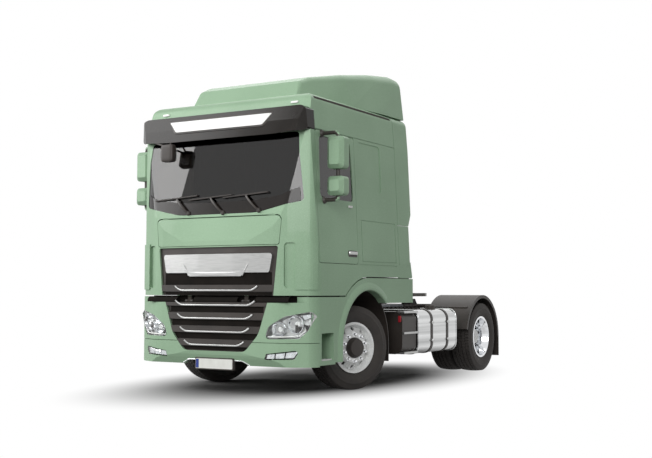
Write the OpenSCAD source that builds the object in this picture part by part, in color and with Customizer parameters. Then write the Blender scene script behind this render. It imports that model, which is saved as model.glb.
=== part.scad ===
// Two-axle cabover tractor unit with a sleeper cab.
// +Z is up, the front faces -Y, the driver's side is +X, and the ground is at z = 0.

/* [Overall] */
// Distance between the axle centres
wheelbase = 3600; // [3500:10:3800]
// Front axle centre to the foremost face
front_overhang = 1380; // [1360:5:1420]
// Rear axle centre to the rearmost face
rear_overhang = 960; // [900:10:1060]
// Width over the cab's sides
cab_w = 2490; // [2450:10:2530]
// Length of the cab from its front skin to its back wall
cab_len = 2215; // [2180:5:2260]
// Height of the roof panel above the walls
roof_h = 420; // [400:5:440]
// Height of the roof fairing above the roof panel
fair_h = 580; // [540:5:620]

/* [Wheels] */
// Outer radius of every tyre
tyre_r = 505; // [495:1:510]
// Section width of a tyre
tyre_w = 315; // [300:1:320]
// Distance between the front wheels' middle planes
front_track = 2050; // [2030:2:2070]
// Distance between the middles of the rear pairs
rear_track = 1820; // [1800:2:1840]
// Distance between the two tyres of a rear pair
twin_pitch = 342; // [336:1:350]
// Distance between the steering pivots
king_pitch = 1720; // [1700:2:1740]
// How far the front wheels are turned to the right as it stands
rest_steer = 22; // [0:1:25]
// Number of wheel nuts and hand holes
hand_holes = 10; // [8:1:10]

/* [Frame] */
// Half the distance between the outer faces of the side rails
rail_x = 430; // [410:1:440]
// Ground to the top of the rails
rail_top = 960; // [950:1:975]
// Depth of a rail
rail_h = 266; // [250:1:280]
// Width of a rail's flanges
rail_flange = 85; // [75:1:95]
// Thickness of a rail's sheet
rail_t = 9; // [7:0.5:11]

/* [Cab] */
// Thickness of the cab's walls and doors
wall = 70; // [60:1:80]
// Thickness of the front bulkhead with its pockets
bulkhead = 100; // [95:1:110]
// Gap between a panel and its neighbour
seam = 6; // [5:0.5:8]
// Ground to the cab's lower front edge
cab_z0 = 1125; // [1120:1:1140]
// Ground to the underside of the floor
floor_z = 1350; // [1340:1:1365]
// Ground to the joint between the walls and the roof
header_z = 3000; // [2980:5:3020]
// Ground to the door's lower edge
door_z0 = 1495; // [1485:1:1510]
// Length of a door along the cab
door_len = 880; // [850:5:910]
// Height of the front flap
lid_h = 340; // [320:1:350]
// Thickness of the window glass
glass_t = 12; // [8:1:15]
// Height of the cab's tilt pivot
tilt_z = 1060; // [1055:1:1065]

/* [Front mask] */
// Ground to the bumper's lower edge
mask_z0 = 335; // [320:1:350]
// Ground to the joint between bumper and lamp panels
mask_split = 600; // [590:1:610]
// Ground to the top of the lamp panels
mask_z1 = 1045; // [1035:1:1048]
// Thickness of the bumper's shell
mask_t = 45; // [40:1:50]

/* [Tank and boxes] */
// Length of the aluminium fuel tank
tank_len = 1250; // [1150:10:1300]
// Depth of the tank from its outer face inwards
tank_w = 660; // [620:5:680]
// Height of the tank
tank_h = 580; // [540:5:600]
// Ground to the underside of the tank
tank_z0 = 350; // [330:1:370]

/* [Fifth wheel] */
// Distance of the kingpin's seat ahead of the rear axle
king_lead = 560; // [500:5:620]
// Ground to the coupling plate's top face
coupling_z = 1150; // [1140:1:1165]
// Radius of the hole in the closed jaw
jaw_r = 25.6; // [25.5:0.05:25.8]

/* [Hidden] */
$fn = 64;

// Colours
paint = "#86ab8e";
black = "#2a2826";
dark = "#3a3735";
steel = "#55565a";
bright = "#c9ccce";
rubber = "#232220";
clear = "#b9c6c8";

// Stations along the truck
y_front = -(front_overhang + wheelbase + rear_overhang) / 2;
y_fa = y_front + front_overhang;
y_ra = y_fa + wheelbase;
y_rear = y_ra + rear_overhang;
half_w = cab_w / 2;
cab_setback = 15;
y_cab = y_front + cab_setback;
y_back = y_cab + cab_len;
// Heights of the cab, from its lower edge up and from the roof joint down
roof_z = header_z + roof_h;
top_z = roof_z + fair_h;
badge_lift = 260;
badge_h = 215;
badge_top_gap = 80;
screen_gap = 30;
screen_top_gap = 35;
badge_z0 = cab_z0 + badge_lift;
badge_z1 = badge_z0 + badge_h;
upper_z1 = badge_z1 + badge_top_gap;
lid_z0 = upper_z1 + 2 * seam;
lid_z1 = lid_z0 + lid_h;
screen_z0 = lid_z1 + screen_gap;
screen_z1 = header_z - screen_top_gap;
// One overrun for every cut
over = 20;
// Larger than the truck, for prisms that are cut to shape
reach = wheelbase + front_overhang + rear_overhang;
// Running gap between solids of different bodies, and at a seat
slack = 0.3;
// Degrees between the points of a rounded corner
arc_step = 10;

// Outline helpers: a point is [x, y, corner radius]
function unit(v) = v / norm(v);
function flat2(p) = [p[0], p[1]];
function turn(a) = a > 180 ? a - 360 : a < -180 ? a + 360 : a;
function corner(p, c, n) = c[2] <= 0 ? [flat2(c)] :
  let (u = unit(flat2(p) - flat2(c)), v = unit(flat2(n) - flat2(c)),
       half = acos(u * v) / 2,
       mid = flat2(c) + unit(u + v) * c[2] / sin(half),
       s = flat2(c) + u * c[2] / tan(half) - mid,
       e = flat2(c) + v * c[2] / tan(half) - mid,
       a = atan2(s[1], s[0]),
       sweep = turn(atan2(e[1], e[0]) - a),
       steps = max(1, ceil(abs(sweep) / arc_step)))
  [for (i = [0:steps]) mid + c[2] * [cos(a + sweep * i / steps), sin(a + sweep * i / steps)]];
function outline(pts) = let (n = len(pts))
  [for (i = [0:n - 1]) each corner(pts[(i + n - 1) % n], pts[i], pts[(i + 1) % n])];
// A half outline given for +X, closed by its mirror image
function mirrored(half) = concat(half,
  [for (i = [len(half) - 1:-1:0]) [-half[i][0], half[i][1], half[i][2]]]);
function arc(mid, r, a0, a1, step = arc_step) = let (steps = ceil(abs(a1 - a0) / step))
  [for (i = [0:steps]) mid + r * [cos(a0 + (a1 - a0) * i / steps), sin(a0 + (a1 - a0) * i / steps)]];
function box4(x0, x1, y0, y1, r) = [[x0, y0, r], [x1, y0, r], [x1, y1, r], [x0, y1, r]];

module along_x(x0, x1) { translate([x0, 0, 0]) rotate([90, 0, 90]) linear_extrude(x1 - x0) children(); }
module along_y(y0, y1) { translate([0, y1, 0]) rotate([90, 0, 0]) linear_extrude(y1 - y0) children(); }
module along_z(z0, z1) { translate([0, 0, z0]) linear_extrude(z1 - z0) children(); }
module block(x0, x1, y0, y1, z0, z1) { translate([x0, y0, z0]) cube([x1 - x0, y1 - y0, z1 - z0]); }
module rod_x(x0, x1, y, z, r) { translate([x0, y, z]) rotate([0, 90, 0]) cylinder(r = r, h = x1 - x0); }
module rod_z(x, y, z0, z1, r) { translate([x, y, z0]) cylinder(r = r, h = z1 - z0); }
module both() { children(); mirror([1, 0, 0]) children(); }

// Frame
rail_lead = 340;
rail_tail = 70;
rail_y0 = y_front + rail_lead;
rail_y1 = y_rear - rail_tail;
rail_z0 = rail_top - rail_h;
rail_in = rail_x - rail_t;
cross_r = 52;
// Places of the cross members as shares of the rails' length behind the gearbox
cross_shares = [0.05, 0.28, 0.72, 0.95];
beam_t = 60;
beam_y0 = rail_y0 - beam_t;
eye_r = 18;
pin_r = 10;
eye_gap = 9;
tilt_y = y_front + mask_t + eye_r + eye_gap;
arm_w = 50;
arm_gap = 1;
arm_x = rail_x - arm_w;
lug_w = 28;
arm_lift = 120;
bumper_arm_z0 = mask_z0 + arm_lift;
bumper_arm_w = 70;
lamp_arm_z0 = mask_split + arm_lift;
lamp_arm_h = 80;
lamp_arm_w = 45;
lamp_arm_x = half_w - 4 * lamp_arm_w;

module side_rails() color(dark) both()
  along_y(rail_y0, rail_y1) difference() {
    translate([rail_x - rail_flange, rail_z0]) square([rail_flange, rail_h]);
    translate([rail_x - rail_flange - rail_t, rail_z0 + rail_t]) square([rail_flange, rail_h - 2 * rail_t]);
  }

module cross_members() color(dark) {
  for (s = cross_shares)
    rod_x(-rail_in, rail_in, shaft_y0 + s * (rail_y1 - shaft_y0), rail_top - rail_h / 2, cross_r);
  post_form();
}

module front_beam() color(dark) difference() {
  union() {
    block(-rail_x, rail_x, beam_y0, rail_y0, rail_z0, rail_top);
    radiator_form();
    both() {
      // Lug that holds the cab's tilt pin
      for (x = [arm_x - lug_w - arm_gap, arm_x + arm_w + arm_gap]) {
        block(x, x + lug_w, tilt_y, beam_y0 + over, tilt_z - 2 * eye_r, tilt_z);
        block(x, x + lug_w, beam_y0, rail_y0, rail_top - over, tilt_z);
        rod_x(x, x + lug_w, tilt_y, tilt_z, eye_r);
      }
      rod_x(arm_x - lug_w - arm_gap, arm_x + arm_w + lug_w + arm_gap, tilt_y, tilt_z, pin_r);
      // Arms that carry the bumper and the lamp panels
      intersection() {
        union() {
          block(rail_x - bumper_arm_w, rail_x, y_front, rail_y0, bumper_arm_z0, rail_z0 + over);
          block(rail_x - bumper_arm_w, half_w - 2 * mask_t, beam_y0 - beam_t, beam_y0 + over,
            lamp_arm_z0, lamp_arm_z0 + lamp_arm_h);
          block(lamp_arm_x - lamp_arm_w, lamp_arm_x, y_front, beam_y0, lamp_arm_z0, lamp_arm_z0 + lamp_arm_h);
        }
        union() {
          mask_form(mask_t);
          block(-reach, reach, y_front + mask_len - over, reach, 0, rail_top);
        }
      }
    }
  }
}

// Engine with gearbox, radiator and drive line
engine_w = 640;
engine_lead = 190;
engine_y0 = rail_y0 + engine_lead;
engine_len = 1180;
engine_z0 = 575;
engine_gap = 80;
engine_top = floor_z - engine_gap;
engine_chamfer = 120;
gear_w = 460;
gear_len = 780;
gear_z0 = 610;
gear_top = 930;
foot_h = 90;
foot_l = 120;
rad_w = 680;
rad_t = 130;
rad_z0 = 560;
rad_drop = 50;
rad_top = engine_top - rad_drop;
shaft_r = 60;
shaft_z = 700;
diff_r = 225;

module engine() color(steel) {
  along_y(engine_y0, engine_y0 + engine_len)
    polygon(outline(mirrored([[engine_w / 2, engine_z0 + engine_chamfer, 0],
      [engine_w / 2, engine_top - engine_chamfer, 0], [engine_w / 2 - engine_chamfer, engine_top, 0]])));
  block(-engine_w / 4, engine_w / 4, engine_y0 + engine_len / 3, engine_y0 + engine_len,
    engine_z0, engine_z0 + 2 * engine_chamfer);
  block(-gear_w / 2, gear_w / 2, engine_y0 + engine_len - over, engine_y0 + engine_len + gear_len,
    gear_z0, gear_top);
  both() for (y = [engine_y0 + foot_l, engine_y0 + engine_len + foot_l])
    block(gear_w / 2 - over, rail_in, y, y + foot_l,
      rail_z0 + rail_t + foot_h, rail_z0 + rail_t + 2 * foot_h);
}

module radiator_form()
  block(-rad_w / 2 + over, rad_w / 2 - over, rail_y0, rail_y0 + rad_t, rad_z0, rad_top);

// The shaft runs from the gearbox down to the differential
shaft_y0 = engine_y0 + engine_len + gear_len;
shaft_y1 = y_ra - diff_r;
shaft_drop = shaft_z - tyre_r;
shaft_len = norm([shaft_y1 - shaft_y0, shaft_drop]);
module prop_shaft() color(steel) difference() {
  translate([0, shaft_y0, shaft_z]) rotate([-90 - atan(shaft_drop / (shaft_y1 - shaft_y0)), 0, 0])
    translate([0, 0, -over]) cylinder(r = shaft_r, h = shaft_len + 2 * over);
  block(-diff_r, diff_r, shaft_y0 - 2 * over, shaft_y0, 0, rail_top);
  rear_housing();
}

// Axles and suspension
king_x = king_pitch / 2;
boss_r = 58;
boss_h = 120;
king_r = 25;
beam_depth = 110;
beam_mid_z0 = 395;
beam_mid_h = 95;
pad_h = 45;
spring_set = 45;
spring_x = rail_x - spring_set;
spring_w = 90;
spring_half = 740;
spring_bow_h = 90;
spring_t = 34;
spring_step = 3;
spring_r = (spring_half * spring_half + spring_bow_h * spring_bow_h) / (2 * spring_bow_h);
spring_mid = beam_mid_z0 + beam_mid_h + pad_h;
spring_a = asin(spring_half / spring_r);
hanger_l = 70;
rear_tube_r = 90;
rear_pad = 70;
diff_half = 80;
diff_cover_d = 180;
diff_cover_r = 120;
pinion_r = 95;
pinion_y = 150;
spindle_r = 45;
spindle_rear_r = 60;
hub_out = 60;
rear_in = rear_track / 2 - twin_pitch / 2 - tyre_w / 2;
rear_end = rear_track / 2 + hub_out;
bag_r = 140;
bag_gap = 81.5;
arm_rear_x = rear_in - bag_r - bag_gap;
arm_rear_w = 90;
arm_rear_h = 70;
arm_rear_z0 = 330;
arm_fore_len = 700;
arm_tail_len = 480;
hanger_rear_l = 110;
bag_y = 370;
bag_h = rail_z0 - arm_rear_z0 - arm_rear_h;
bag_folds = 6;
bag_waist_share = 0.86;

// Axle tube with a round banjo in the middle, its cover behind and the pinion's nose in front
module rear_housing() {
  translate([0, y_ra, tyre_r]) rotate([0, 90, 0]) rotate_extrude() polygon([
    [0, -rear_end], [spindle_rear_r, -rear_end], [spindle_rear_r, -rear_in], [rear_tube_r, -rear_in],
    [rear_tube_r, rear_in], [spindle_rear_r, rear_in], [spindle_rear_r, rear_end], [0, rear_end]]);
  translate([0, y_ra, tyre_r]) rotate([90, 0, 0]) rotate_extrude() polygon([
    [0, -diff_cover_d], [diff_cover_r, -diff_cover_d], [diff_r, -diff_half], [diff_r, diff_half],
    [pinion_r, pinion_y], [pinion_r, diff_r], [0, diff_r]]);
}

module axle_beams() color(dark) {
  difference() {
    union() {
      along_y(y_fa - beam_depth / 2, y_fa + beam_depth / 2)
        polygon(outline(mirrored([[spring_x + spring_w, beam_mid_z0, 0],
          [king_x, tyre_r - boss_h / 2 + over, 0],
          [king_x, tyre_r + boss_h / 2 - over, 0], [spring_x + spring_w, beam_mid_z0 + beam_mid_h, 0]])));
      both() {
        rod_z(king_x, y_fa, tyre_r - boss_h / 2, tyre_r + boss_h / 2, boss_r);
        block(spring_x - spring_w / 2, spring_x + spring_w / 2, y_fa - spring_w, y_fa + spring_w,
          beam_mid_z0 + over, spring_mid);
      }
    }
    both() rod_z(king_x, y_fa, 0, 2 * tyre_r, king_r + slack);
  }
  rear_housing();
  both() block(arm_rear_x - arm_rear_w / 2, arm_rear_x + arm_rear_w / 2, y_ra - rear_pad, y_ra + rear_pad,
    arm_rear_z0 + arm_rear_h, tyre_r);
}

module leaf_form() {
  difference() {
    union() {
      along_x(spring_x - spring_w / 2, spring_x + spring_w / 2) {
        polygon(concat(
          arc([y_fa, spring_mid + spring_r], spring_r, 270 - spring_a, 270 + spring_a, spring_step),
          arc([y_fa, spring_mid + spring_r], spring_r - spring_t,
            270 + spring_a, 270 - spring_a, spring_step)));
        for (s = [-1, 1]) translate([y_fa + s * spring_half - hanger_l / 2, spring_mid + spring_bow_h - over])
          square([hanger_l, rail_z0 - spring_mid - spring_bow_h + over]);
      }
    }
    block(spring_x - spring_w, spring_x + spring_w, y_fa - spring_w, y_fa + spring_w,
      spring_mid - over, spring_mid);
  }
  block(spring_x - spring_w / 2, spring_x + spring_w / 2, y_fa - spring_w, y_fa + spring_w,
    spring_mid, spring_mid + spring_t);
}

module arm_form() {
  block(arm_rear_x - arm_rear_w / 2, arm_rear_x + arm_rear_w / 2, y_ra - arm_fore_len, y_ra + arm_tail_len,
    arm_rear_z0, arm_rear_z0 + arm_rear_h);
  block(arm_rear_x - arm_rear_w / 2, arm_rear_x + arm_rear_w / 2, y_ra - arm_fore_len,
    y_ra - arm_fore_len + hanger_rear_l, arm_rear_z0, rail_z0);
}

module springs() color(dark) both() {
  leaf_form();
  arm_form();
}

module air_springs() color(rubber) both()
  translate([arm_rear_x, y_ra + bag_y, arm_rear_z0 + arm_rear_h]) rotate_extrude()
    polygon(concat([[0, 0]],
      [for (i = [0:bag_folds]) [bag_r * (i % 2 == 0 ? bag_waist_share : 1), i / bag_folds * bag_h]],
      [[0, bag_h]]));

// Posts at the back that the cab rests on
post_set = 260;
post_y = y_back - post_set;
post_w = 80;
module post_form() both()
  block(rail_x - post_w, rail_x, post_y, post_y + post_w, rail_top, floor_z - slack);

// Tanks on the driver's side, exhaust box on the other
tank_inset = 30;
tank_x1 = half_w - tank_inset;
tank_x0 = tank_x1 - tank_w;
tank_z1 = tank_z0 + tank_h;
tank_lead = 1450;
tank_y0 = y_fa + tank_lead;
tank_corner = 130;
strap_t = 7;
strap_w = 55;
// Places of the straps as shares of the tank's length
strap_shares = [0.34, 0.74];
bracket_lift = 40;
bracket_z0 = rail_z0 + bracket_lift;
bracket_h = 150;
urea_len = 400;
urea_gap = 20;
urea_y0 = tank_y0 - urea_gap - urea_len;
urea_inset = 18;
step_t = 26;
step_out = 12;
step_deep = 110;
// Heights of the treads as shares of the tank's height
step_shares = [0.06, 0.5, 0.96];
exhaust_lead = 800;
exhaust_y0 = y_fa + exhaust_lead;
exhaust_len = 1000;
exhaust_corner = 70;
pipe_r = 65;

module tank_section(grow) {
  polygon(outline(box4(tank_x0 - grow, tank_x1 + grow, tank_z0 - grow, tank_z1 + grow, tank_corner + grow)));
}

module fuel_tank() color(bright) along_y(tank_y0, tank_y0 + tank_len) tank_section(0);

module tank_straps() color(black) {
  for (s = strap_shares) let (y = tank_y0 + s * tank_len) {
    along_y(y - strap_w / 2, y + strap_w / 2) difference() { tank_section(strap_t); tank_section(0); }
    block(rail_x, tank_x0 - strap_t, y - strap_w / 2, y + strap_w / 2, bracket_z0, bracket_z0 + bracket_h);
  }
}

module urea_tank() color(black) {
  along_y(urea_y0, urea_y0 + urea_len) tank_section(-urea_inset);
  block(rail_x, tank_x0 + 2 * urea_inset, urea_y0 + urea_len / 3, urea_y0 + 2 * urea_len / 3,
    bracket_z0, bracket_z0 + bracket_h);
}

module tank_steps() color(bright) for (s = step_shares) let (z = tank_z0 + s * tank_h)
  difference() {
    block(tank_x1 - step_deep, tank_x1 + step_out, urea_y0, urea_y0 + urea_len,
      z - step_t / 2, z + step_t / 2);
    along_y(urea_y0 - over, urea_y0 + urea_len + over) tank_section(-urea_inset);
  }

module exhaust_box() color(steel) {
  along_y(exhaust_y0, exhaust_y0 + exhaust_len)
    polygon(outline(box4(-tank_x1, -tank_x0, tank_z0, tank_z1, exhaust_corner)));
  for (s = strap_shares) let (y = exhaust_y0 + s * exhaust_len)
    block(-tank_x0 - over, -rail_x, y - strap_w, y + strap_w, bracket_z0, bracket_z0 + bracket_h);
  translate([-(tank_x0 + tank_x1) / 2, exhaust_y0 + exhaust_len - over, tank_z0 + 2 * pipe_r])
    rotate([-90, 0, 0]) cylinder(r = pipe_r, h = 4 * pipe_r);
}

// Rear mudguards
guard_gap = 100;
guard_r = tyre_r + guard_gap;
guard_t = 12;
guard_inset = 8;
guard_x0 = rear_in - guard_inset;
guard_x1 = half_w;
guard_lip = 34;
guard_sides = 240;
guard_a1 = 168;
flap_z0 = 200;
stay_r = 20;
stay_y = 430;
stay_rr = guard_r + guard_t / 2;
stay_z = tyre_r + sqrt(stay_rr * stay_rr - stay_y * stay_y);

// Ring sector over the wheel between two radii, from level behind it to guard_a1 in front
module guard_ring(r0, r1) translate([y_ra, tyre_r]) difference() {
  circle(r = r1, $fn = guard_sides);
  circle(r = r0, $fn = guard_sides);
  polygon(concat([[0, 0]], arc([0, 0], reach, guard_a1, 360, 45)));
}
module rear_mudguards() color(black) both() {
  along_x(guard_x0, guard_x1 - guard_t) guard_ring(guard_r, guard_r + guard_t);
  along_x(guard_x1 - guard_t, guard_x1) guard_ring(guard_r - guard_lip, guard_r + guard_t);
  block(guard_x0, guard_x1, y_ra + guard_r, y_ra + guard_r + guard_t, flap_z0, tyre_r);
  for (s = [-1, 1]) rod_x(rail_x, guard_x1 - 2 * guard_lip, y_ra + s * stay_y, stay_z, stay_r);
}

// Deck plate behind the cab
deck_t = 25;
deck_gap = 30;
deck_y0 = post_y + post_w + deck_gap;
deck_x = rail_x + deck_gap;
module catwalk() color(steel)
  along_z(rail_top, rail_top + deck_t) difference() {
    translate([-deck_x, deck_y0]) square([2 * deck_x, y_king - plate_half - 2 * deck_t - deck_y0]);
    for (i = [0:deck_slots - 1]) translate([-rail_in + rail_flange, deck_y0 + (i + 1) * deck_slot_pitch])
      square([2 * (rail_in - rail_flange), deck_slot]);
  }
deck_slots = 6;
deck_slot_pitch = 150;
deck_slot = 60;

// Fifth wheel
y_king = y_ra - king_lead;
plate_half = 470;
plate_tail = 400;
plate_t = 48;
jaw_out = 78;
throat = 340;
ear_x = 300;
ear_w = 70;
ear_r = 42;
ear_drop = 16;
pivot_z = coupling_z - plate_t - ear_r - ear_drop;
base_t = 26;
cheek_w = 40;
cheek_gap = 2;
trunnion_r = 22;

module fifth_wheel_base() color(dark) {
  block(-rail_x - deck_t, rail_x + deck_t, y_king - plate_half + over, y_king + plate_half - over,
    rail_top, rail_top + base_t);
  both() for (x = [ear_x - ear_w / 2 - cheek_w - cheek_gap, ear_x + ear_w / 2 + cheek_gap]) {
    along_x(x, x + cheek_w)
      polygon(outline([[y_king - 3 * ear_r, rail_top + base_t / 2, 0],
        [y_king + 3 * ear_r, rail_top + base_t / 2, 0],
        [y_king + ear_r, pivot_z + trunnion_r, trunnion_r],
        [y_king - ear_r, pivot_z + trunnion_r, trunnion_r]]));
  }
  both() rod_x(ear_x - ear_w / 2 - cheek_gap - over, ear_x + ear_w / 2 + cheek_gap + over,
    y_king, pivot_z, trunnion_r);
}

// Widths of the plate's outline as shares of its half width
nose_share = 0.5;
shoulder_share = 0.62;
tail_share = 0.85;
module fifth_wheel_plate() color(black) difference() {
  union() {
    along_z(coupling_z - plate_t, coupling_z)
      polygon(outline(mirrored([
        [plate_half * nose_share, y_king - plate_tail, 2 * jaw_out],
        [plate_half, y_king - plate_tail * shoulder_share, 2 * jaw_out],
        [plate_half, y_king + plate_tail * nose_share, 2 * jaw_out],
        [plate_half * tail_share, y_king + plate_tail, jaw_out / 2],
        [throat / 2, y_king + plate_tail, jaw_out / 4],
        [jaw_out / 2, y_king + jaw_out, 0]])));
    both() along_x(ear_x - ear_w / 2, ear_x + ear_w / 2) {
      translate([y_king, pivot_z]) circle(r = ear_r);
      translate([y_king - ear_r, pivot_z]) square([2 * ear_r, coupling_z - plate_t / 2 - pivot_z]);
    }
  }
  rod_z(0, y_king, 0, 2 * coupling_z, jaw_r);
  both() rod_x(ear_x - ear_w, ear_x + ear_w, y_king, pivot_z, trunnion_r + slack);
}

// Rear beam and tail lamps
lamp_w = 330;
lamp_h = 150;
lamp_d = 60;
lamp_x0 = 520;
rear_beam_h = 150;
rear_beam_half = 860;
module rear_beam() color(dark)
  block(-rear_beam_half, rear_beam_half, rail_y1, y_rear - lamp_d / 2, rail_top - rear_beam_h, rail_top);
module tail_lamps() color("#7d2a26") both()
  block(lamp_x0, lamp_x0 + lamp_w, y_rear - lamp_d / 2, y_rear,
    rail_top - rear_beam_h, rail_top - rear_beam_h + lamp_h);

// Plan of the front: flat middle, then two corners rounded back to the sides
corner_d = 215;
corner_w = 330;
corner_bow = 32;
corner_side_r = 180;
corner_front_r = 560;
middle_w = 350;
middle_r = 3600;
corner_share = 0.4;
function plan_half(i, f, y0, yb) = [
  [half_w - i, yb, 0],
  [half_w - i, y0 + corner_d + corner_share * f, corner_side_r - i / 2],
  [half_w - corner_w - corner_share * i, y0 + corner_bow + f, corner_front_r - i / 2],
  [middle_w, y0 + f, middle_r]];

// The bumper's form: plan, cut by a side view whose lower edge runs back
mask_len = 300;
mask_under = 60;
mask_chin = 130;
module mask_form(i) intersection() {
  along_z(0, reach) polygon(outline(mirrored(plan_half(i, i, y_front, y_front + 2 * mask_len))));
  along_x(-reach, reach) polygon(outline([
    [y_front + mask_under + i, mask_z0 - (i > 0 ? over : 0), 0],
    [y_front + i, mask_z0 + mask_chin, mask_chin * 2],
    [y_front + i, cab_z0 + (i > 0 ? over : 0), 0],
    [reach, cab_z0 + (i > 0 ? over : 0), 0],
    [reach, mask_z0 - (i > 0 ? over : 0), 0]]));
}
module mask_shell() { difference() { mask_form(0); mask_form(mask_t); } }
module front_prism(pts) { along_y(y_front - 2 * mask_len, y_front + mask_len + over) polygon(outline(pts)); }

part_gap = 15;
grille_top_w = 725;
grille_mid_w = 610;
grille_low_w = 430;
grille_mid_z = 690;
grille_low_z = 490;
grille_low_r = 120;
grille_mid_r = 260;
function grille_half() = [[grille_low_w, grille_low_z, grille_low_r],
  [grille_mid_w, grille_mid_z, grille_mid_r], [grille_top_w, mask_z1, 0]];
// Lamp outlines: share of the half width, share of the panel's height, share of the lamp's corner radius
lamp_r = 100;
headlamp_shares = [[0.554, 0.09, 0.4], [0.59, 0.4, 1.2], [0.747, 0.66, 0.9], [0.962, 0.785, 0.3],
  [0.99, 0.66, 0.3], [0.936, 0.3, 0.6], [0.871, 0.11, 0.5]];
fog_shares = [[0.55, 0.28, 0.15], [0.83, 0.33, 0.3], [0.88, 0.72, 0.3], [0.57, 0.54, 0.2]];
function lamp_pts(shares, z0, z1) = [for (p = shares) [p[0] * half_w, z0 + p[1] * (z1 - z0), p[2] * lamp_r]];
headlamp_pts = lamp_pts(headlamp_shares, mask_split, mask_z1);
fog_pts = lamp_pts(fog_shares, mask_z0, mask_split);
// How far back the lamps run round the corner
lamp_wrap = 235;
module lamp_prism(pts) { along_y(y_front - over, y_front + lamp_wrap) polygon(outline(pts)); }
plate_w = 760;
plate_notch = 100;
plate_corner = 10;

module bumper() color(paint) difference() {
  intersection() {
    mask_shell();
    block(-half_w, half_w, y_front, y_front + mask_len, mask_z0, mask_split - seam / 2);
  }
  front_prism(mirrored(grille_half()));
  both() lamp_prism(fog_pts);
  front_prism(mirrored([[plate_w / 2 + plate_notch, mask_z0 - over, 0],
    [plate_w / 2, mask_z0 + plate_notch / 2, plate_corner]]));
}

module lamp_panels() color(paint) difference() {
  intersection() {
    mask_shell();
    along_x(-reach, reach) polygon([[y_front, mask_split + seam / 2],
      [y_front + mask_len, mask_split + seam / 2],
      [y_front + mask_len, cab_z0 - part_gap], [y_front + mask_len / 2, cab_z0 - part_gap],
      [y_front + mask_len / 2, mask_z1], [y_front, mask_z1]]);
  }
  front_prism(mirrored(grille_half()));
  both() lamp_prism(headlamp_pts);
}

blade_h = 75;
blade_t = 28;
blade_bite = 1.2;
// Lower edges of the grille's blades as shares of the height between its lower edge and its top
blade_shares = [0.1, 0.375, 0.65, 0.925];
function blade_z(i) = grille_low_z + blade_shares[i] * (mask_z1 - grille_low_z);
module lower_grille() color(black) intersection() {
  union() {
    difference() { mask_form(blade_t); mask_form(mask_t); }
    intersection() {
      difference() { mask_form(0); mask_form(blade_t + blade_bite); }
      for (i = [0:len(blade_shares) - 1])
        block(-reach, reach, y_front - over, y_front + mask_len, blade_z(i), blade_z(i) + blade_h);
    }
  }
  front_prism(mirrored(grille_half()));
  block(-reach, reach, y_front - over, y_front + mask_len, 0, mask_z1);
}

lens_set = 4;
module front_lamps() color(clear) both() for (pts = [headlamp_pts, fog_pts]) intersection() {
  difference() { mask_form(lens_set); mask_form(mask_t); }
  lamp_prism(pts);
}

// Entry steps and wheel arches beside the front wheels
arch_set = 45;
arch_lift = 40;
arch_mid = [y_fa + arch_set, tyre_r + arch_lift];
arch_out = floor_z - part_gap - arch_mid[1];
arch_gap = 135;
arch_in = tyre_r + arch_gap;
arch_t = 90;
arch_z0 = 370;
skirt_z0 = 1030;
skirt_len = 1240;
y_skirt = y_fa + skirt_len;
step_x0 = 880;
step_z0 = 350;
pocket_x0 = 1000;
pocket_z0 = 400;
pocket_z1 = 705;
pocket_rim = 35;
liner_gap = 38;
liner_r = arch_in + liner_gap;
liner_t = 12;
liner_x0 = 640;
liner_flap_z0 = 300;
skirt_a = asin((skirt_z0 - arch_mid[1]) / arch_in);
liner_a0 = 192;

module arch_side() {
  polygon(concat([[arch_mid[0] - arch_out, arch_z0]],
    arc(arch_mid, arch_out, 180, 90),
    [[y_skirt, floor_z - part_gap], [y_skirt, skirt_z0]],
    arc(arch_mid, arch_in, skirt_a, 180),
    [[arch_mid[0] - arch_in, arch_z0]]));
}
// Rounded flare round the opening: shares of its width and of its height above the panel
flare_w = 95;
flare_t = 22;
flare_shares = [[0, 0.5], [0.06, 0.82], [0.16, 1], [0.36, 0.96], [0.66, 0.6], [1, 0]];
flare_a0 = skirt_a + 1;
flare_pts = concat([[arch_in, half_w - arch_t / 2]],
  [for (p = flare_shares) [arch_in + p[0] * flare_w, half_w + p[1] * flare_t]],
  [[arch_in + flare_w, half_w - arch_t / 2]]);
module flare() {
  translate([0, arch_mid[0], arch_mid[1]]) rotate([flare_a0, 0, 0])
    multmatrix([[0, 0, 1, 0], [1, 0, 0, 0], [0, 1, 0, 0]])
    rotate_extrude(angle = 180 - flare_a0, $fn = 120) polygon(flare_pts);
  translate([0, arch_mid[0], arch_z0]) linear_extrude(arch_mid[1] - arch_z0)
    polygon([for (p = flare_pts) [p[1], -p[0]]]);
}
module wheel_arches() color(paint) both() {
  along_x(half_w - arch_t, half_w) arch_side();
  flare();
}

module arch_liners() color(black) both() along_x(liner_x0, half_w - arch_t) {
  polygon(concat(arc(arch_mid, liner_r, liner_a0, 0), arc(arch_mid, liner_r + liner_t, 0, liner_a0)));
  translate([arch_mid[0] + liner_r, liner_flap_z0]) square([liner_t, arch_mid[1] - liner_flap_z0]);
}

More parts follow.
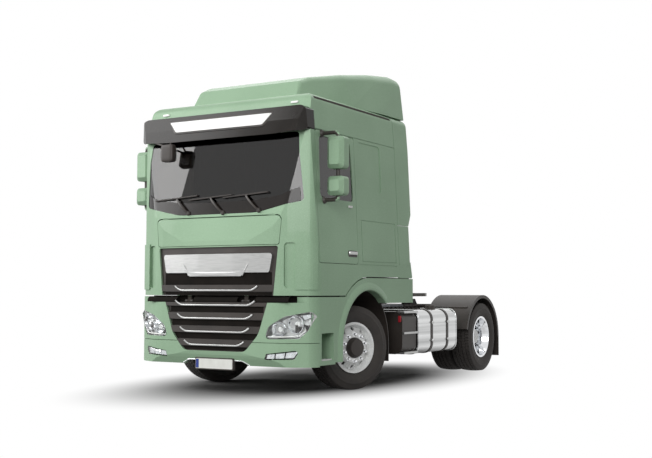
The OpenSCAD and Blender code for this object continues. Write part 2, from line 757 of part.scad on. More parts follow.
module entry_steps() color(paint) both() difference() {
  intersection() {
    along_x(step_x0, half_w) difference() {
      polygon([[y_front + mask_len, step_z0], [arch_mid[0] - arch_out, step_z0], [arch_mid[0], step_z0],
        [arch_mid[0], cab_z0 - part_gap], [y_front + mask_len, cab_z0 - part_gap]]);
      polygon(concat([[arch_mid[0] - arch_out, 0]], arc(arch_mid, arch_out, 180, 90),
        [[arch_mid[0] + arch_out, floor_z], [arch_mid[0] + arch_out, 0]]));
    }
    along_z(0, reach) polygon(outline(mirrored(plan_half(0, 0, y_front, y_fa))));
  }
  block(pocket_x0, half_w + over, y_front + mask_len + pocket_rim, arch_mid[0] - arch_out - pocket_rim,
    pocket_z0, pocket_z1);
  block(step_x0 - over, half_w - arch_t - mask_t, arch_mid[0] - arch_out, arch_mid[0], 0, cab_z0);
}

// Cab form: side view, plan and front view together
lean_z = upper_z1 + seam;
lean_r = 1200;
screen_lean = 150;
roof_lean = 265;
roof_r = 110;
tumble = 70;
tumble_top = 105;
tumble_lift = 45;
tumble_z = door_z0 + tumble_lift;
function low_z(i) = cab_z0 - (i > 0 ? over : 0);
function cab_side(f, t, yb) = [
  [y_cab + f, low_z(f), 0], [y_cab + f, lean_z, lean_r], [y_cab + screen_lean + f, header_z, lean_r],
  [y_cab + roof_lean + f, roof_z - t, roof_r], [yb, roof_z - t, 0], [yb, low_z(f), 0]];
function cab_face(i, t) = [
  [half_w - i, low_z(i), 0], [half_w - i, tumble_z, lean_r], [half_w - tumble - i, header_z, lean_r],
  [half_w - tumble_top - i, roof_z - t, roof_r]];
// i: inset of the sides, f: of the front, t: of the roof
module cab_form(i, f, t, yb) intersection() {
  along_x(-reach, reach) polygon(outline(cab_side(f, t, yb)));
  along_z(0, reach) polygon(outline(mirrored(plan_half(i, f, y_cab, yb + over))));
  along_y(-reach, reach) polygon(outline(mirrored(cab_face(i, t))));
}
module cab_shell() difference() {
  cab_form(0, 0, 0, y_back);
  cab_form(wall, bulkhead, wall, y_back - wall);
}
module inner() cab_form(wall, bulkhead, wall, y_back - wall);
module skin(a, b) difference() { cab_form(a, a, a, y_back); cab_form(b, b, b, y_back + over); }
module sill_cut() along_x(-reach, reach)
  polygon(concat([[arch_mid[0] - arch_out - part_gap, 0]], arc(arch_mid, arch_out + part_gap, 180, 90),
    [[reach, floor_z], [reach, 0]]));

door_set = 272;
y_door0 = y_cab + door_set;
y_door1 = y_door0 + door_len;
door_corner = 40;
door_top_gap = 2;
door_z1 = header_z - seam - door_top_gap;
hinge_set = 1;
hinge_x = half_w + hinge_set;
hinge_y = y_door0 - seam / 2;
hinge_z = door_z0 + door_corner + door_top_gap;
hinge_r = 2.8;
hinge_pin_r = 1.6;
hinge_h = 12;
hinge_root = 24;
hinge_gap = 0.5;
win_set = 62;
win_lift = 165;
win_top_gap = 65;
win_z0 = screen_z0 + win_lift;
win_z1 = header_z - win_top_gap;
win_slant = 20;
win_low_r = 70;
win_back_r = 50;
win_top_r = 60;
screen_w0 = 1120;
screen_w1 = 1050;
screen_dip = 120;
screen_dip_share = 0.5;
screen_low_r = 700;
screen_side_r = 50;
screen_top_r = 60;
lid_w0 = 862;
lid_w1 = 895;
lid_low_r = 25;
lid_top_r = 60;
lid_t = 44;
lid_hinge_set = 46;
lid_hinge_y = y_cab + lid_hinge_set;
lid_hinge_drop = 4;
lid_hinge_z = lid_z1 - lid_hinge_drop;
lid_hinge_x = 760;
lid_hinge_r = 6;
lid_pin_r = 3;
lid_hinge_w = 60;
lid_ear_w = 12;
lid_drop = 6;
pocket_d = 52;
upper_w0 = 790;
upper_w1 = 848;
upper_r = 25;
badge_w0 = 735;
badge_w1 = 775;
badge_r = 30;
badge_set = 3;
panel_set = 24;
bar_lift = 45;
bar_h = 75;
bar_set = 2;
function door_pts(g) = box4(y_door0 + g, y_door1 - g, door_z0 + g, door_z1 - g, door_corner);
function window_pts() = [[y_door0 + win_set, win_z0, win_low_r], [y_door1 - win_set, win_z0, win_back_r],
  [y_door1 - win_set - win_slant, win_z1, win_top_r], [y_door0 + win_set + win_slant, win_z1, win_top_r]];
function screen_half() = [[screen_w0 * screen_dip_share, screen_z0, screen_low_r],
  [screen_w0, screen_z0 + screen_dip, screen_side_r], [screen_w1, screen_z1, screen_top_r]];
function lid_half(g) = [[lid_w0 - g, lid_z0 + g, lid_low_r],
  [lid_w1 - g, lid_z1 - g - (g > 0 ? lid_drop : 0), lid_top_r]];
function upper_half() = [[upper_w0, cab_z0 - over, 0], [upper_w1, upper_z1, upper_r]];
module cab_prism(pts) { along_y(y_cab - over, y_cab + 2 * door_set) polygon(outline(pts)); }
module left_prism(pts) { along_x(half_w / 2, half_w + over) polygon(outline(pts)); }

// Air vane on each front corner, with the recess beside it
vane_x0 = 1045;
vane_lift = 65;
vane_h = 545;
vane_t = 14;
vane_z0 = cab_z0 + vane_lift;
recess_w = 130;
recess_d = 22;
recess_r = 40;
module vane_form() both() intersection() {
  difference() {
    cab_form(-vane_t, -vane_t, 0, y_back);
    cab_form(vane_t, vane_t, wall, y_back);
  }
  block(vane_x0, half_w + vane_t + over, y_cab - over, y_door0 - 4 * seam, vane_z0, vane_z0 + vane_h);
}

module bulkhead_form() difference() {
  union() {
    intersection() {
      cab_shell();
      block(-half_w, half_w, y_cab - over, y_door0 - seam, cab_z0, header_z);
    }
    vane_form();
    both() difference() {
      union() {
        block(arm_x, arm_x + arm_w, tilt_y, tilt_y + eye_r, tilt_z, cab_z0 + over);
        rod_x(arm_x, arm_x + arm_w, tilt_y, tilt_z, eye_r);
      }
      rod_x(arm_x - over, arm_x + arm_w + over, tilt_y, tilt_z, pin_r + slack);
    }
    both() for (z = [hinge_z, hinge_z + 2 * (hinge_h + hinge_gap)]) {
      rod_z(hinge_x, hinge_y, z, z + hinge_h, hinge_r);
      block(hinge_x - hinge_root, hinge_x, y_door0 - 2 * seam, hinge_y, z, z + hinge_h);
    }
    both() rod_z(hinge_x, hinge_y, hinge_z, hinge_z + 3 * hinge_h + 2 * hinge_gap, hinge_pin_r);
  }
  cab_prism(mirrored(screen_half()));
  difference() {
    union() {
      cab_prism(mirrored(lid_half(0)));
      cab_prism(mirrored(upper_half()));
    }
    cab_form(pocket_d, pocket_d, pocket_d, y_back);
  }
  both() difference() {
    cab_prism(box4(vane_x0 - recess_w, vane_x0, vane_z0 + recess_d, vane_z0 + vane_h - recess_d, recess_r));
    cab_form(recess_d, recess_d, recess_d, y_back);
  }
  both() block(lid_hinge_x - lid_hinge_w / 2 - hinge_gap, lid_hinge_x + lid_hinge_w / 2 + hinge_gap,
    y_cab - over, lid_hinge_y + 2 * lid_hinge_r,
    lid_hinge_z - 2 * lid_hinge_r, lid_hinge_z + lid_hinge_r + seam / 2);
}
// Ears and pins on the bulkhead that the front flap turns on
module lid_ears() both() {
  for (x = [lid_hinge_x - lid_hinge_w / 2 - hinge_gap - lid_ear_w,
      lid_hinge_x + lid_hinge_w / 2 + hinge_gap]) {
    rod_x(x, x + lid_ear_w, lid_hinge_y, lid_hinge_z, lid_hinge_r);
    block(x, x + lid_ear_w, lid_hinge_y - lid_hinge_r / 2, lid_hinge_y + 4 * lid_hinge_r,
      lid_hinge_z, lid_z1 + lid_hinge_r);
  }
  rod_x(lid_hinge_x - lid_hinge_w / 2 - lid_ear_w, lid_hinge_x + lid_hinge_w / 2 + lid_ear_w,
    lid_hinge_y, lid_hinge_z, lid_pin_r);
}
module cab_front() color(paint) {
  bulkhead_form();
  lid_ears();
}

module windscreen() color(clear) intersection() {
  skin(seam, seam + glass_t);
  cab_prism(mirrored(screen_half()));
}

module front_lid() color(paint) difference() {
  union() {
    intersection() {
      skin(0, lid_t);
      cab_prism(mirrored(lid_half(seam)));
    }
    both() rod_x(lid_hinge_x - lid_hinge_w / 2, lid_hinge_x + lid_hinge_w / 2,
      lid_hinge_y, lid_hinge_z, lid_hinge_r);
    both() block(lid_hinge_x - lid_hinge_w / 2, lid_hinge_x + lid_hinge_w / 2,
      lid_hinge_y, lid_hinge_y + lid_hinge_r,
      lid_hinge_z - 2 * seam - lid_drop, lid_hinge_z);
  }
  both() rod_x(lid_hinge_x - lid_hinge_w, lid_hinge_x + lid_hinge_w,
    lid_hinge_y, lid_hinge_z, lid_pin_r + slack);
}

module upper_grille() color(black) intersection() {
  union() {
    skin(panel_set, pocket_d);
    intersection() {
      skin(bar_set, panel_set + blade_bite);
      block(-half_w, half_w, y_cab - over, y_back, cab_z0 + bar_lift, cab_z0 + bar_lift + bar_h);
    }
  }
  cab_prism(mirrored(upper_half()));
  block(-half_w, half_w, y_cab - over, y_back, cab_z0, header_z);
}

module badge_bar() color(bright) intersection() {
  skin(badge_set, panel_set);
  cab_prism(mirrored([[badge_w0, badge_z0, badge_r], [badge_w1, badge_z1, badge_r]]));
}

quarter_gap = 95;
quarter_len = 560;
quarter_top_gap = 35;
quarter_h = 580;
quarter_r = 50;
quarter_y0 = y_door1 + quarter_gap;
quarter_z1 = header_z - quarter_top_gap;
// Grooves round the locker's hatch and along the panel joints
groove_w = 8;
groove_d = 7;
locker_gap = 110;
locker_lift = 30;
locker_h = 500;
locker_end = 75;
locker_r = 12;
function locker_pts(g) = box4(y_door1 + locker_gap + g, y_back - locker_end - g,
  door_z0 + locker_lift + g, door_z0 + locker_lift + locker_h - g, locker_r);
module groove_form() difference() {
  union() {
    difference() {
      left_prism(locker_pts(0));
      left_prism(locker_pts(groove_w));
    }
    block(half_w / 2, half_w + over, y_door1, y_back, door_z0 - groove_w, door_z0);
    left_prism(box4(quarter_y0, quarter_y0 + quarter_len, quarter_z1 - quarter_h, quarter_z1, quarter_r));
  }
  cab_form(groove_d, groove_d, groove_d, y_back + over);
}
module side_half() difference() {
  intersection() {
    cab_shell();
    block(0, half_w, y_door0 - seam, y_back - wall, cab_z0, header_z);
  }
  left_prism(door_pts(-seam));
  block(0, half_w, y_door0 - 2 * seam, y_door1, door_z0 + 2 * wall, header_z + over);
  sill_cut();
  groove_form();
}
module cab_sides() color(paint) both() side_half();

module cab_back() color(paint) intersection() {
  cab_shell();
  block(-half_w, half_w, y_back - wall, y_back + over, floor_z, header_z);
}

floor_t = 50;
module cab_floor() color(dark) intersection() {
  inner();
  block(-half_w, half_w, y_cab, y_back, floor_z, floor_z + floor_t);
}

module cab_roof() color(paint) difference() {
  intersection() {
    cab_shell();
    block(-half_w, half_w, y_cab - over, y_back + over, header_z, roof_z + over);
  }
  // Joint line over the doors
  difference() {
    block(-half_w - over, half_w + over, y_cab + visor_len, y_back + over,
      header_z - over, header_z + groove_w);
    cab_form(groove_d, groove_d, groove_d, y_back + 2 * over);
  }
}

// Roof fairing as a skin over cross sections
fair_set = 560;
fair_y0 = y_cab + fair_set;
fair_base = 1115;
fair_slice = 2;
fair_round_share = 0.3;
// Cross sections: shares of the length, the height and the base's width, and the top's width over the base's
fair_shares = [[0, 0.1, 0.7, 0.96], [0.05, 0.4, 0.74, 0.9], [0.14, 0.53, 0.8, 0.88], [0.4, 0.72, 0.93, 0.88],
  [0.7, 0.9, 0.99, 0.9], [0.93, 1, 1, 0.93], [1, 0.98, 1, 0.94]];
defl_len = 390;
y_defl = y_back + defl_len;
fair_len = y_defl - fair_y0 - fair_slice;
module roof_fairing() color(paint) hull() for (s = fair_shares)
  let (y = fair_y0 + s[0] * fair_len, h = s[1] * fair_h, w = s[2] * fair_base)
    along_y(y, y + fair_slice) polygon(outline(mirrored([[w, roof_z, 0],
      [w * s[3], roof_z + h, h * fair_round_share]])));

defl_t = 36;
defl_lift = 15;
defl_h = 500;
defl_z0 = door_z0 + defl_lift;
defl_z1 = defl_z0 + defl_h;
defl_cut = 160;
module side_deflectors() color(paint) difference() {
  intersection() {
    difference() {
      cab_form(0, 0, 0, y_defl);
      cab_form(defl_t, defl_t, defl_t, y_defl + over);
    }
    along_x(-reach, reach) {
      polygon([[y_back, defl_z1 + seam], [y_defl - defl_cut / 2, defl_z1 + seam],
        [y_defl, defl_z1 + defl_cut], [y_defl, roof_z], [y_back, roof_z]]);
      polygon([[y_back, defl_z0], [y_defl - defl_cut / 2, defl_z0], [y_defl - defl_cut / 2, defl_z1],
        [y_back, defl_z1]]);
    }
  }
  // Joint line behind the cab
  difference() {
    block(-half_w - over, half_w + over, y_back - over, y_back + groove_w, defl_z0 - over, roof_z);
    cab_form(groove_d, groove_d, groove_d, y_defl);
  }
}

visor_out = 125;
visor_side = 8;
visor_drop = 40;
visor_h = 290;
visor_z0 = header_z - visor_drop;
visor_z1 = visor_z0 + visor_h;
visor_len = 262;
visor_t = 18;
visor_w0 = 1192;
visor_w1 = 1184;
visor_low_r = 70;
visor_top_r = 110;
visor_sag = 22;
visor_sag_share = 0.62;
visor_sag_r = 900;
module sun_visor() color(black) difference() {
  intersection() {
    cab_form(-visor_side, -visor_out, 0, y_back);
    along_y(-reach, y_cab + visor_len) polygon(outline(mirrored([
      [visor_w0 * visor_sag_share, visor_z0 - visor_sag, visor_sag_r],
      [visor_w0, visor_z0, visor_low_r], [visor_w1, visor_z1, visor_top_r]])));
  }
  cab_form(0, 0, 0, y_back);
  intersection() {
    cab_form(-visor_side + visor_t, visor_t - visor_out, 0, y_back);
    block(-reach, reach, -reach, y_cab + visor_len + over,
      visor_z0 - visor_sag - over, visor_z1 - 2 * visor_t);
  }
}

// Inside the cab
dash_half = 1060;
dash_d = 430;
dash_gap = 45;
dash_h = 450;
dash_r = 60;
dash_z1 = screen_z0 - dash_gap;
dash_z0 = dash_z1 - dash_h;
dash_lip = 90;
wheel_x = 540;
wheel_set = 610;
wheel_drop = 15;
wheel_y = y_cab + wheel_set;
wheel_z = screen_z0 - wheel_drop;
wheel_r = 225;
wheel_tube = 17;
wheel_tilt = 35;
spoke_angles = [30, 150, 270];
column_r = 38;
column_len = 420;
seat_set = 660;
seat_y = y_cab + seat_set;
seat_w = 500;
seat_d = 500;
cushion_t = 140;
pedestal_w = 340;
pedestal_h = 300;
back_t = 150;
back_h = 600;
rest_w = 270;
rest_h = 190;
seat_tilt = 10;
cushion_r = 45;
back_r = 60;
bunk_d = 725;
bunk_y0 = y_back - wall - bunk_d;
bunk_h = 420;
mattress_t = 150;

module dashboard() color(dark) intersection() {
  inner();
  along_x(-dash_half, dash_half) polygon(outline([[y_cab, dash_z0, 0],
    [y_cab + bulkhead + dash_d - dash_lip, dash_z0, dash_r],
    [y_cab + bulkhead + dash_d, dash_z1 - 2 * dash_lip, dash_r],
    [y_cab + bulkhead + dash_d - dash_lip, dash_z1, dash_r], [y_cab, dash_z1, 0]]));
}

module steering_wheel() color(black) difference() {
  translate([wheel_x, wheel_y, wheel_z]) rotate([-wheel_tilt, 0, 0]) {
    rotate_extrude() translate([wheel_r, 0]) circle(r = wheel_tube, $fn = 32);
    for (a = spoke_angles) rotate([0, 0, a]) rotate([0, 90, 0])
      cylinder(r = wheel_tube * spoke_share, h = wheel_r, $fn = 32);
    translate([0, 0, -column_len]) cylinder(r = column_r, h = column_len);
  }
  dashboard();
}

module seat_form() {
  z = floor_z + floor_t;
  block(wheel_x - pedestal_w / 2, wheel_x + pedestal_w / 2,
    seat_y + cushion_t / 2, seat_y + seat_d - cushion_t / 2, z, z + pedestal_h + over);
  along_y(seat_y, seat_y + seat_d) polygon(outline(box4(wheel_x - seat_w / 2, wheel_x + seat_w / 2,
    z + pedestal_h, z + pedestal_h + cushion_t, cushion_r)));
  translate([wheel_x, seat_y + seat_d - over, z + pedestal_h + over]) rotate([-seat_tilt, 0, 0]) {
    along_y(0, back_t) polygon(outline(box4(-seat_w / 2, seat_w / 2, 0, back_h + cushion_t, back_r)));
    along_y(over, back_t - over) polygon(outline(box4(-rest_w / 2, rest_w / 2,
      back_h, back_h + cushion_t + rest_h, cushion_r)));
  }
}
module seats() color(dark) both() seat_form();

module bunk() color(dark) intersection() {
  inner();
  block(-half_w, half_w, bunk_y0, y_back, floor_z + floor_t, floor_z + floor_t + bunk_h + mattress_t);
}

// Doors with their glass and mirrors
module door_form() difference() {
  union() {
    intersection() {
      cab_shell();
      left_prism(door_pts(0));
    }
    rod_z(hinge_x, hinge_y, hinge_z + hinge_h + hinge_gap, hinge_z + 2 * hinge_h + hinge_gap, hinge_r);
    block(hinge_x - hinge_r - seam, hinge_x, hinge_y, y_door0 + 2 * seam,
      hinge_z + hinge_h + hinge_gap, hinge_z + 2 * hinge_h + hinge_gap);
  }
  left_prism(window_pts());
  rod_z(hinge_x, hinge_y, hinge_z, hinge_z + 3 * hinge_h + 2 * hinge_gap, hinge_pin_r + slack);
}
module door_left() color(paint) door_form();
module door_right() color(paint) mirror([1, 0, 0]) door_form();
glass_set = 10;
module door_glass() intersection() {
  skin(glass_set, glass_set + glass_t);
  left_prism(window_pts());
}
module door_glass_left() color(clear) door_glass();
module door_glass_right() color(clear) mirror([1, 0, 0]) door_glass();

mirror_x = 1395;
mirror_w = 215;
mirror_set = 95;
mirror_y = y_door0 + mirror_set;
mirror_d = 110;
mirror_r = 45;
main_drop = 25;
main_h = 365;
mirror_split = 85;
wide_h = 215;
main_z1 = win_z1 - main_drop;
main_z0 = main_z1 - main_h;
wide_z1 = main_z0 - mirror_split;
wide_z0 = wide_z1 - wide_h;
mirror_arm_r = 20;
arm_edge = 6;
arm_low_z = win_z0 - mirror_arm_r - arm_edge;
arm_high_z = win_z1 + mirror_arm_r + arm_edge;
module housing(z0, z1) {
  hull() {
    along_y(mirror_y, mirror_y + mirror_d)
      polygon(outline(box4(mirror_x - mirror_w / 2, mirror_x + mirror_w / 2, z0, z1, mirror_r)));
    along_y(mirror_y - mirror_r, mirror_y)
      polygon(outline(box4(mirror_x - mirror_w / 2 + mirror_r, mirror_x + mirror_w / 2 - mirror_r,
        z0 + mirror_r, z1 - mirror_r, mirror_r / 2)));
  }
}
module mirror_form() difference() {
  union() {
    housing(main_z0, main_z1);
    housing(wide_z0, wide_z1);
    rod_z(mirror_x, mirror_y + mirror_d / 2, arm_low_z, arm_high_z, mirror_arm_r);
    for (z = [arm_low_z, arm_high_z])
      rod_x(half_w - tumble - wall / 2, mirror_x, mirror_y + mirror_d / 2, z, mirror_arm_r);
  }
  cab_form(0, 0, 0, y_back);
}
module mirror_left() color(paint) mirror_form();
module mirror_right() color(paint) mirror([1, 0, 0]) mirror_form();

// Front knuckles: built straight ahead at the steering pivot, then turned
front_out = front_track / 2 - king_x;
king_gap = 2;
yoke_h = 40;
yoke_r = 60;
yoke_x = 70;
spindle_end = 40;
spindle_len = front_out + spindle_end;
steer_arm = 210;
steer_arm_h = 30;
steer_arm_w = 50;
yoke_share = 0.8;
tie_share = 0.75;
tie_eye = 26;
tie_gap = 3;
spoke_share = 0.6;
ball_r = 14;
rod_r = 24;
rod_z0 = tyre_r - boss_h / 2 - king_gap - yoke_h;
tie_h = 46;
module at_king(side) { translate([side * king_x, y_fa, tyre_r]) rotate([0, 0, -rest_steer]) children(); }

module knuckle_form() {
  for (s = [-1, 1]) let (z = s > 0 ? boss_h / 2 + king_gap : -boss_h / 2 - king_gap - yoke_h) {
    rod_z(0, 0, z, z + yoke_h, yoke_r);
    block(0, yoke_x + yoke_h, -yoke_r * yoke_share, yoke_r * yoke_share, z, z + yoke_h);
  }
  block(yoke_x, yoke_x + yoke_h, -yoke_r * yoke_share, yoke_r * yoke_share,
    -boss_h / 2 - king_gap - yoke_h, boss_h / 2 + king_gap + yoke_h);
  rod_z(0, 0, -boss_h / 2 - king_gap - over, boss_h / 2 + king_gap + over, king_r);
  rod_x(yoke_x, spindle_len, 0, 0, spindle_r);
  block(-steer_arm_w / 2, steer_arm_w / 2, 0, steer_arm,
    -boss_h / 2 - king_gap - yoke_h, -boss_h / 2 - king_gap - yoke_h + steer_arm_h);
  rod_z(0, steer_arm, -boss_h / 2 - king_gap - yoke_h, -boss_h / 2 - king_gap - yoke_h + steer_arm_h,
    steer_arm_w / 2);
  rod_z(0, steer_arm, -boss_h / 2 - king_gap - yoke_h - tie_h, -boss_h / 2 - king_gap - yoke_h + over,
    ball_r);
}
module knuckle_left() color(dark) at_king(1) knuckle_form();
module knuckle_right() color(dark) at_king(-1) mirror([1, 0, 0]) knuckle_form();

tie_x = -steer_arm * sin(rest_steer);
tie_y = y_fa + steer_arm * cos(rest_steer);
module track_rod() color(dark) difference() {
  union() {
    rod_x(-king_x - tie_x, king_x - tie_x, tie_y, rod_z0 - tie_h / 2, rod_r * tie_share);
    for (s = [-1, 1]) rod_z(s * king_x - tie_x, tie_y, rod_z0 - tie_h + tie_gap, rod_z0 - tie_gap, tie_eye);
  }
  for (s = [-1, 1]) rod_z(s * king_x - tie_x, tie_y, 0, rod_z0 + over, ball_r + 2 * slack);
}

// Wheels: sections in [radius, place along the axle], outboard positive
seat_r = 286;
flange_r = 302;
rim_half = 125;
rim_t = 12;
drop_r = 255;
tyre_bead = 118;
tread_half = 138;
shoulder_drop = 10;
tread_d = 14;
tread_gap = 12;
// Places of the tread grooves as shares of the tread's half width
groove_shares = [-0.62, -0.2, 0.2, 0.62];
disc_flat = 178;
disc_front = 128;
disc_dish_d = 60;
hole_r = 22;
hole_mid = 222;
hub_r = 118;
hub_len = 170;
cap_r = 84;
cap_out = 66;

bead_r = 10;
wall_r = 90;
shoulder_r = 22;
function tyre_half() = [[tyre_r, tread_half / 2, 0], [tyre_r - shoulder_drop, tread_half, shoulder_r],
  [(seat_r + tyre_r) / 2, tyre_w / 2, wall_r], [seat_r + 2 * rim_t, tyre_bead, bead_r],
  [seat_r + slack, tyre_bead, 0]];
function other_half(h) = [for (i = [len(h) - 1:-1:0]) [h[i][0], -h[i][1], h[i][2]]];
module tyre_section() difference() {
  polygon(outline(concat(tyre_half(), other_half(tyre_half()))));
  for (s = groove_shares) translate([tyre_r - tread_d, s * tread_half - tread_gap / 2])
    square([tread_d + over, tread_gap]);
}
module barrel_section() {
  polygon([[seat_r, -rim_half + rim_t / 2], [flange_r, -rim_half + rim_t / 2],
    [flange_r, -rim_half - rim_t / 2], [seat_r - rim_t, -rim_half - rim_t / 2],
    [drop_r - rim_t, -rim_half / 3], [drop_r - rim_t, rim_half / 3], [seat_r - rim_t, rim_half + rim_t / 2],
    [flange_r, rim_half + rim_t / 2], [flange_r, rim_half - rim_t / 2], [seat_r, rim_half - rim_t / 2],
    [drop_r, rim_half / 3], [drop_r, -rim_half / 3]]);
}
module disc_section(y, s, r_end) {
  polygon([[spindle_r, y], [disc_flat, y], [r_end, y - s * disc_dish_d],
    [r_end, y - s * (disc_dish_d + 2 * rim_t)],
    [disc_flat, y - s * 2 * rim_t], [spindle_r, y - s * 2 * rim_t]]);
}
module spin() { rotate([0, 90, 0]) rotate_extrude($fn = 96) children(); }
rear_disc_r = 269;
hub_in = -50;
rear_hub_in = -120;
rear_hub_out = 150;
bore_end = 6;
module hand_hole_cut() for (i = [0:hand_holes - 1]) rotate([i * 360 / hand_holes, 0, 0])
  rod_x(-rear_track, rear_track, 0, hole_mid, hole_r);
module front_rim() difference() {
  union() {
    spin() { barrel_section(); disc_section(disc_front, 1, drop_r - rim_t / 2); }
    rod_x(hub_in, disc_front, 0, 0, hub_r);
    rod_x(disc_front - over, disc_front + cap_out, 0, 0, cap_r);
  }
  rod_x(hub_in - over, spindle_len - front_out + bore_end, 0, 0, spindle_r + slack);
  hand_hole_cut();
}
module front_tyre() { spin() tyre_section(); }
module rear_rims() difference() {
  union() {
    for (s = [-1, 1]) translate([s * twin_pitch / 2, 0, 0])
      spin() { barrel_section(); disc_section(-s * twin_pitch / 2, -s, rear_disc_r); }
    rod_x(rear_hub_in, rear_hub_out, 0, 0, hub_r);
    rod_x(rear_hub_out - over, rear_hub_out + cap_out, 0, 0, cap_r);
  }
  rod_x(rear_hub_in - over, hub_out + bore_end, 0, 0, spindle_rear_r + slack);
  hand_hole_cut();
}
module rear_tyres() { for (s = [-1, 1]) translate([s * twin_pitch / 2, 0, 0]) spin() tyre_section(); }
module at_front(side) { at_king(side) translate([side * front_out, 0, 0]) children(); }
module at_rear(side) { translate([side * rear_track / 2, y_ra, tyre_r]) children(); }
module rim_front_left() color(bright) at_front(1) front_rim();
module rim_front_right() color(bright) at_front(-1) mirror([1, 0, 0]) front_rim();
module rims_rear_left() color(bright) at_rear(1) rear_rims();
module rims_rear_right() color(bright) at_rear(-1) mirror([1, 0, 0]) rear_rims();
module tyre_front_left() color(rubber) at_front(1) front_tyre();
module tyre_front_right() color(rubber) at_front(-1) mirror([1, 0, 0]) front_tyre();
module tyres_rear_left() color(rubber) at_rear(1) rear_tyres();
module tyres_rear_right() color(rubber) at_rear(-1) mirror([1, 0, 0]) rear_tyres();

side_rails();
cross_members();
front_beam();
engine();
prop_shaft();
axle_beams();
springs();
air_springs();
fuel_tank();
tank_straps();
urea_tank();
tank_steps();
exhaust_box();
rear_mudguards();
catwalk();
fifth_wheel_base();
rear_beam();
tail_lamps();
bumper();
lamp_panels();
lower_grille();
front_lamps();
entry_steps();
wheel_arches();
arch_liners();
cab_floor();
cab_front();
cab_sides();
cab_back();
cab_roof();
roof_fairing();
side_deflectors();
windscreen();
sun_visor();
upper_grille();
badge_bar();
dashboard();
steering_wheel();
seats();
bunk();
front_lid();
door_left();
door_right();
door_glass_left();
door_glass_right();
mirror_left();
mirror_right();
fifth_wheel_plate();
knuckle_left();
knuckle_right();
track_rod();
rim_front_left();
rim_front_right();
rims_rear_left();
rims_rear_right();
tyre_front_left();
tyre_front_right();
tyres_rear_left();
tyres_rear_right();
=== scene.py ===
import math

import bmesh
import bpy
import numpy as np
from mathutils import Matrix, Vector


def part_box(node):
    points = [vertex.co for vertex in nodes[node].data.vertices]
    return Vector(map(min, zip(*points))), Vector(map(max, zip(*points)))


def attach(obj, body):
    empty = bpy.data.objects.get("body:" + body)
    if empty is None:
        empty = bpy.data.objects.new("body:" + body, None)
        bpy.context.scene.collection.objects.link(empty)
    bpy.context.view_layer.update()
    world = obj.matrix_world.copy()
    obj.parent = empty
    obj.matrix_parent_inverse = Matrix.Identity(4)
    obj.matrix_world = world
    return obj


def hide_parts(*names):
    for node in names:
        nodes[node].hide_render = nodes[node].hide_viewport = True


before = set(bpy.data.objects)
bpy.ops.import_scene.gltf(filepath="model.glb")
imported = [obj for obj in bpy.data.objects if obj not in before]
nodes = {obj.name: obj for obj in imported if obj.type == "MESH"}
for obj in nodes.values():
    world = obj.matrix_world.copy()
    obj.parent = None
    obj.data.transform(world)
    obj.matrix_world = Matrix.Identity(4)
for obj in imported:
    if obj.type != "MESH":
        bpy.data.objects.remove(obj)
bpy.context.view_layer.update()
print("frame loaded:", len(nodes), "solids")

# Directions of the frame, and the truck's two sides
front, rearward, upward, leftward = (0, -1, 0), (0, 1, 0), (0, 0, 1), (1, 0, 0)
sides = ((1, "Left"), (-1, "Right"))
boxCorners = np.array([(-1, -1), (1, -1), (1, 1), (-1, 1)])  # of a square, in turn
fullTurn = 2 * math.pi


# Small tools

def linear(hexColour):  # sRGB hex to the linear colour that a socket takes
    srgb = np.array([int(hexColour[i:i + 2], 16) for i in (1, 3, 5)]) / 255
    return (*np.where(srgb <= 0.04045, srgb / 12.92, ((srgb + 0.055) / 1.055) ** 2.4), 1.0)


def addNode(tree, kind, values=None, links=None, stops=(), **settings):  # stops: place and hex colour on a ramp
    node = tree.nodes.new(kind)
    for key, value in settings.items():
        setattr(node, key, value)
    for key, value in (values or {}).items():
        node.inputs[key].default_value = value
    for key, socket in (links or {}).items():
        tree.links.new(socket, node.inputs[key])
    for number, (place, colour) in enumerate(stops):
        node.color_ramp.elements[number].position = place
        node.color_ramp.elements[number].color = linear(colour)
    return node


def startMaterial(name, sockets):  # a Principled shader with its constant sockets set, and Object coordinates
    material = bpy.data.materials.new(name)
    material.use_nodes = True
    tree = material.node_tree
    shader = tree.nodes["Principled BSDF"]
    for key, value in sockets.items():
        shader.inputs[key].default_value = value
    return material, tree, shader, addNode(tree, "ShaderNodeTexCoord").outputs["Object"]


def joinShader(tree, shader, links):  # leads patterns to the shader's named sockets
    for key, socket in links.items():
        tree.links.new(socket, shader.inputs[key])


def perMetre(millimetres):  # texture scale for a pattern of that real size
    return 1000 / millimetres


def unit(vector):  # a vector divided by its length
    return np.asarray(vector, float) / np.linalg.norm(vector)


def pointsOf(name):  # vertices of a CAD node as an array
    flat = np.empty(len(nodes[name].data.vertices) * 3)
    nodes[name].data.vertices.foreach_get("co", flat)
    return flat.reshape(-1, 3)


def boxOf(name):  # low and high corner of a CAD node
    return (np.array(corner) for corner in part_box(name))


# Skins of the model: places of its outer faces, so that a piece sits on what carries it
shell = {"maskFront": -2.97, "cabFront": -2.955, "chinZ": (0.335, 0.465), "chinY": (0.06, 0),
         "leanZ": (1.686, 3.0, 3.42), "leanY": (0, 0.15, 0.265), "sideZ": (1.54, 3.0, 3.42),
         "sideX": (1.245, 1.175, 1.14), "visorOut": 0.125, "planX": (0.35, 0.915, 1.245), "planY": (0, 0.032, 0.215),
         "planBand": (1.04, 1.115), "planReach": 0.02}


def planLine(names, low, high):  # foremost y at any x: a band's outer vertices, joined by straight lines
    points = np.vstack([pointsOf(name) for name in names])
    rough = shell["maskFront"] + np.interp(np.abs(points[:, 0]), shell["planX"], shell["planY"])
    outer = points[(points[:, 2] > low) & (points[:, 2] < high) & (points[:, 1] - rough < shell["planReach"])]
    outer = outer[np.argsort(outer[:, 0])]
    return lambda x: np.interp(x, outer[:, 0], outer[:, 1])


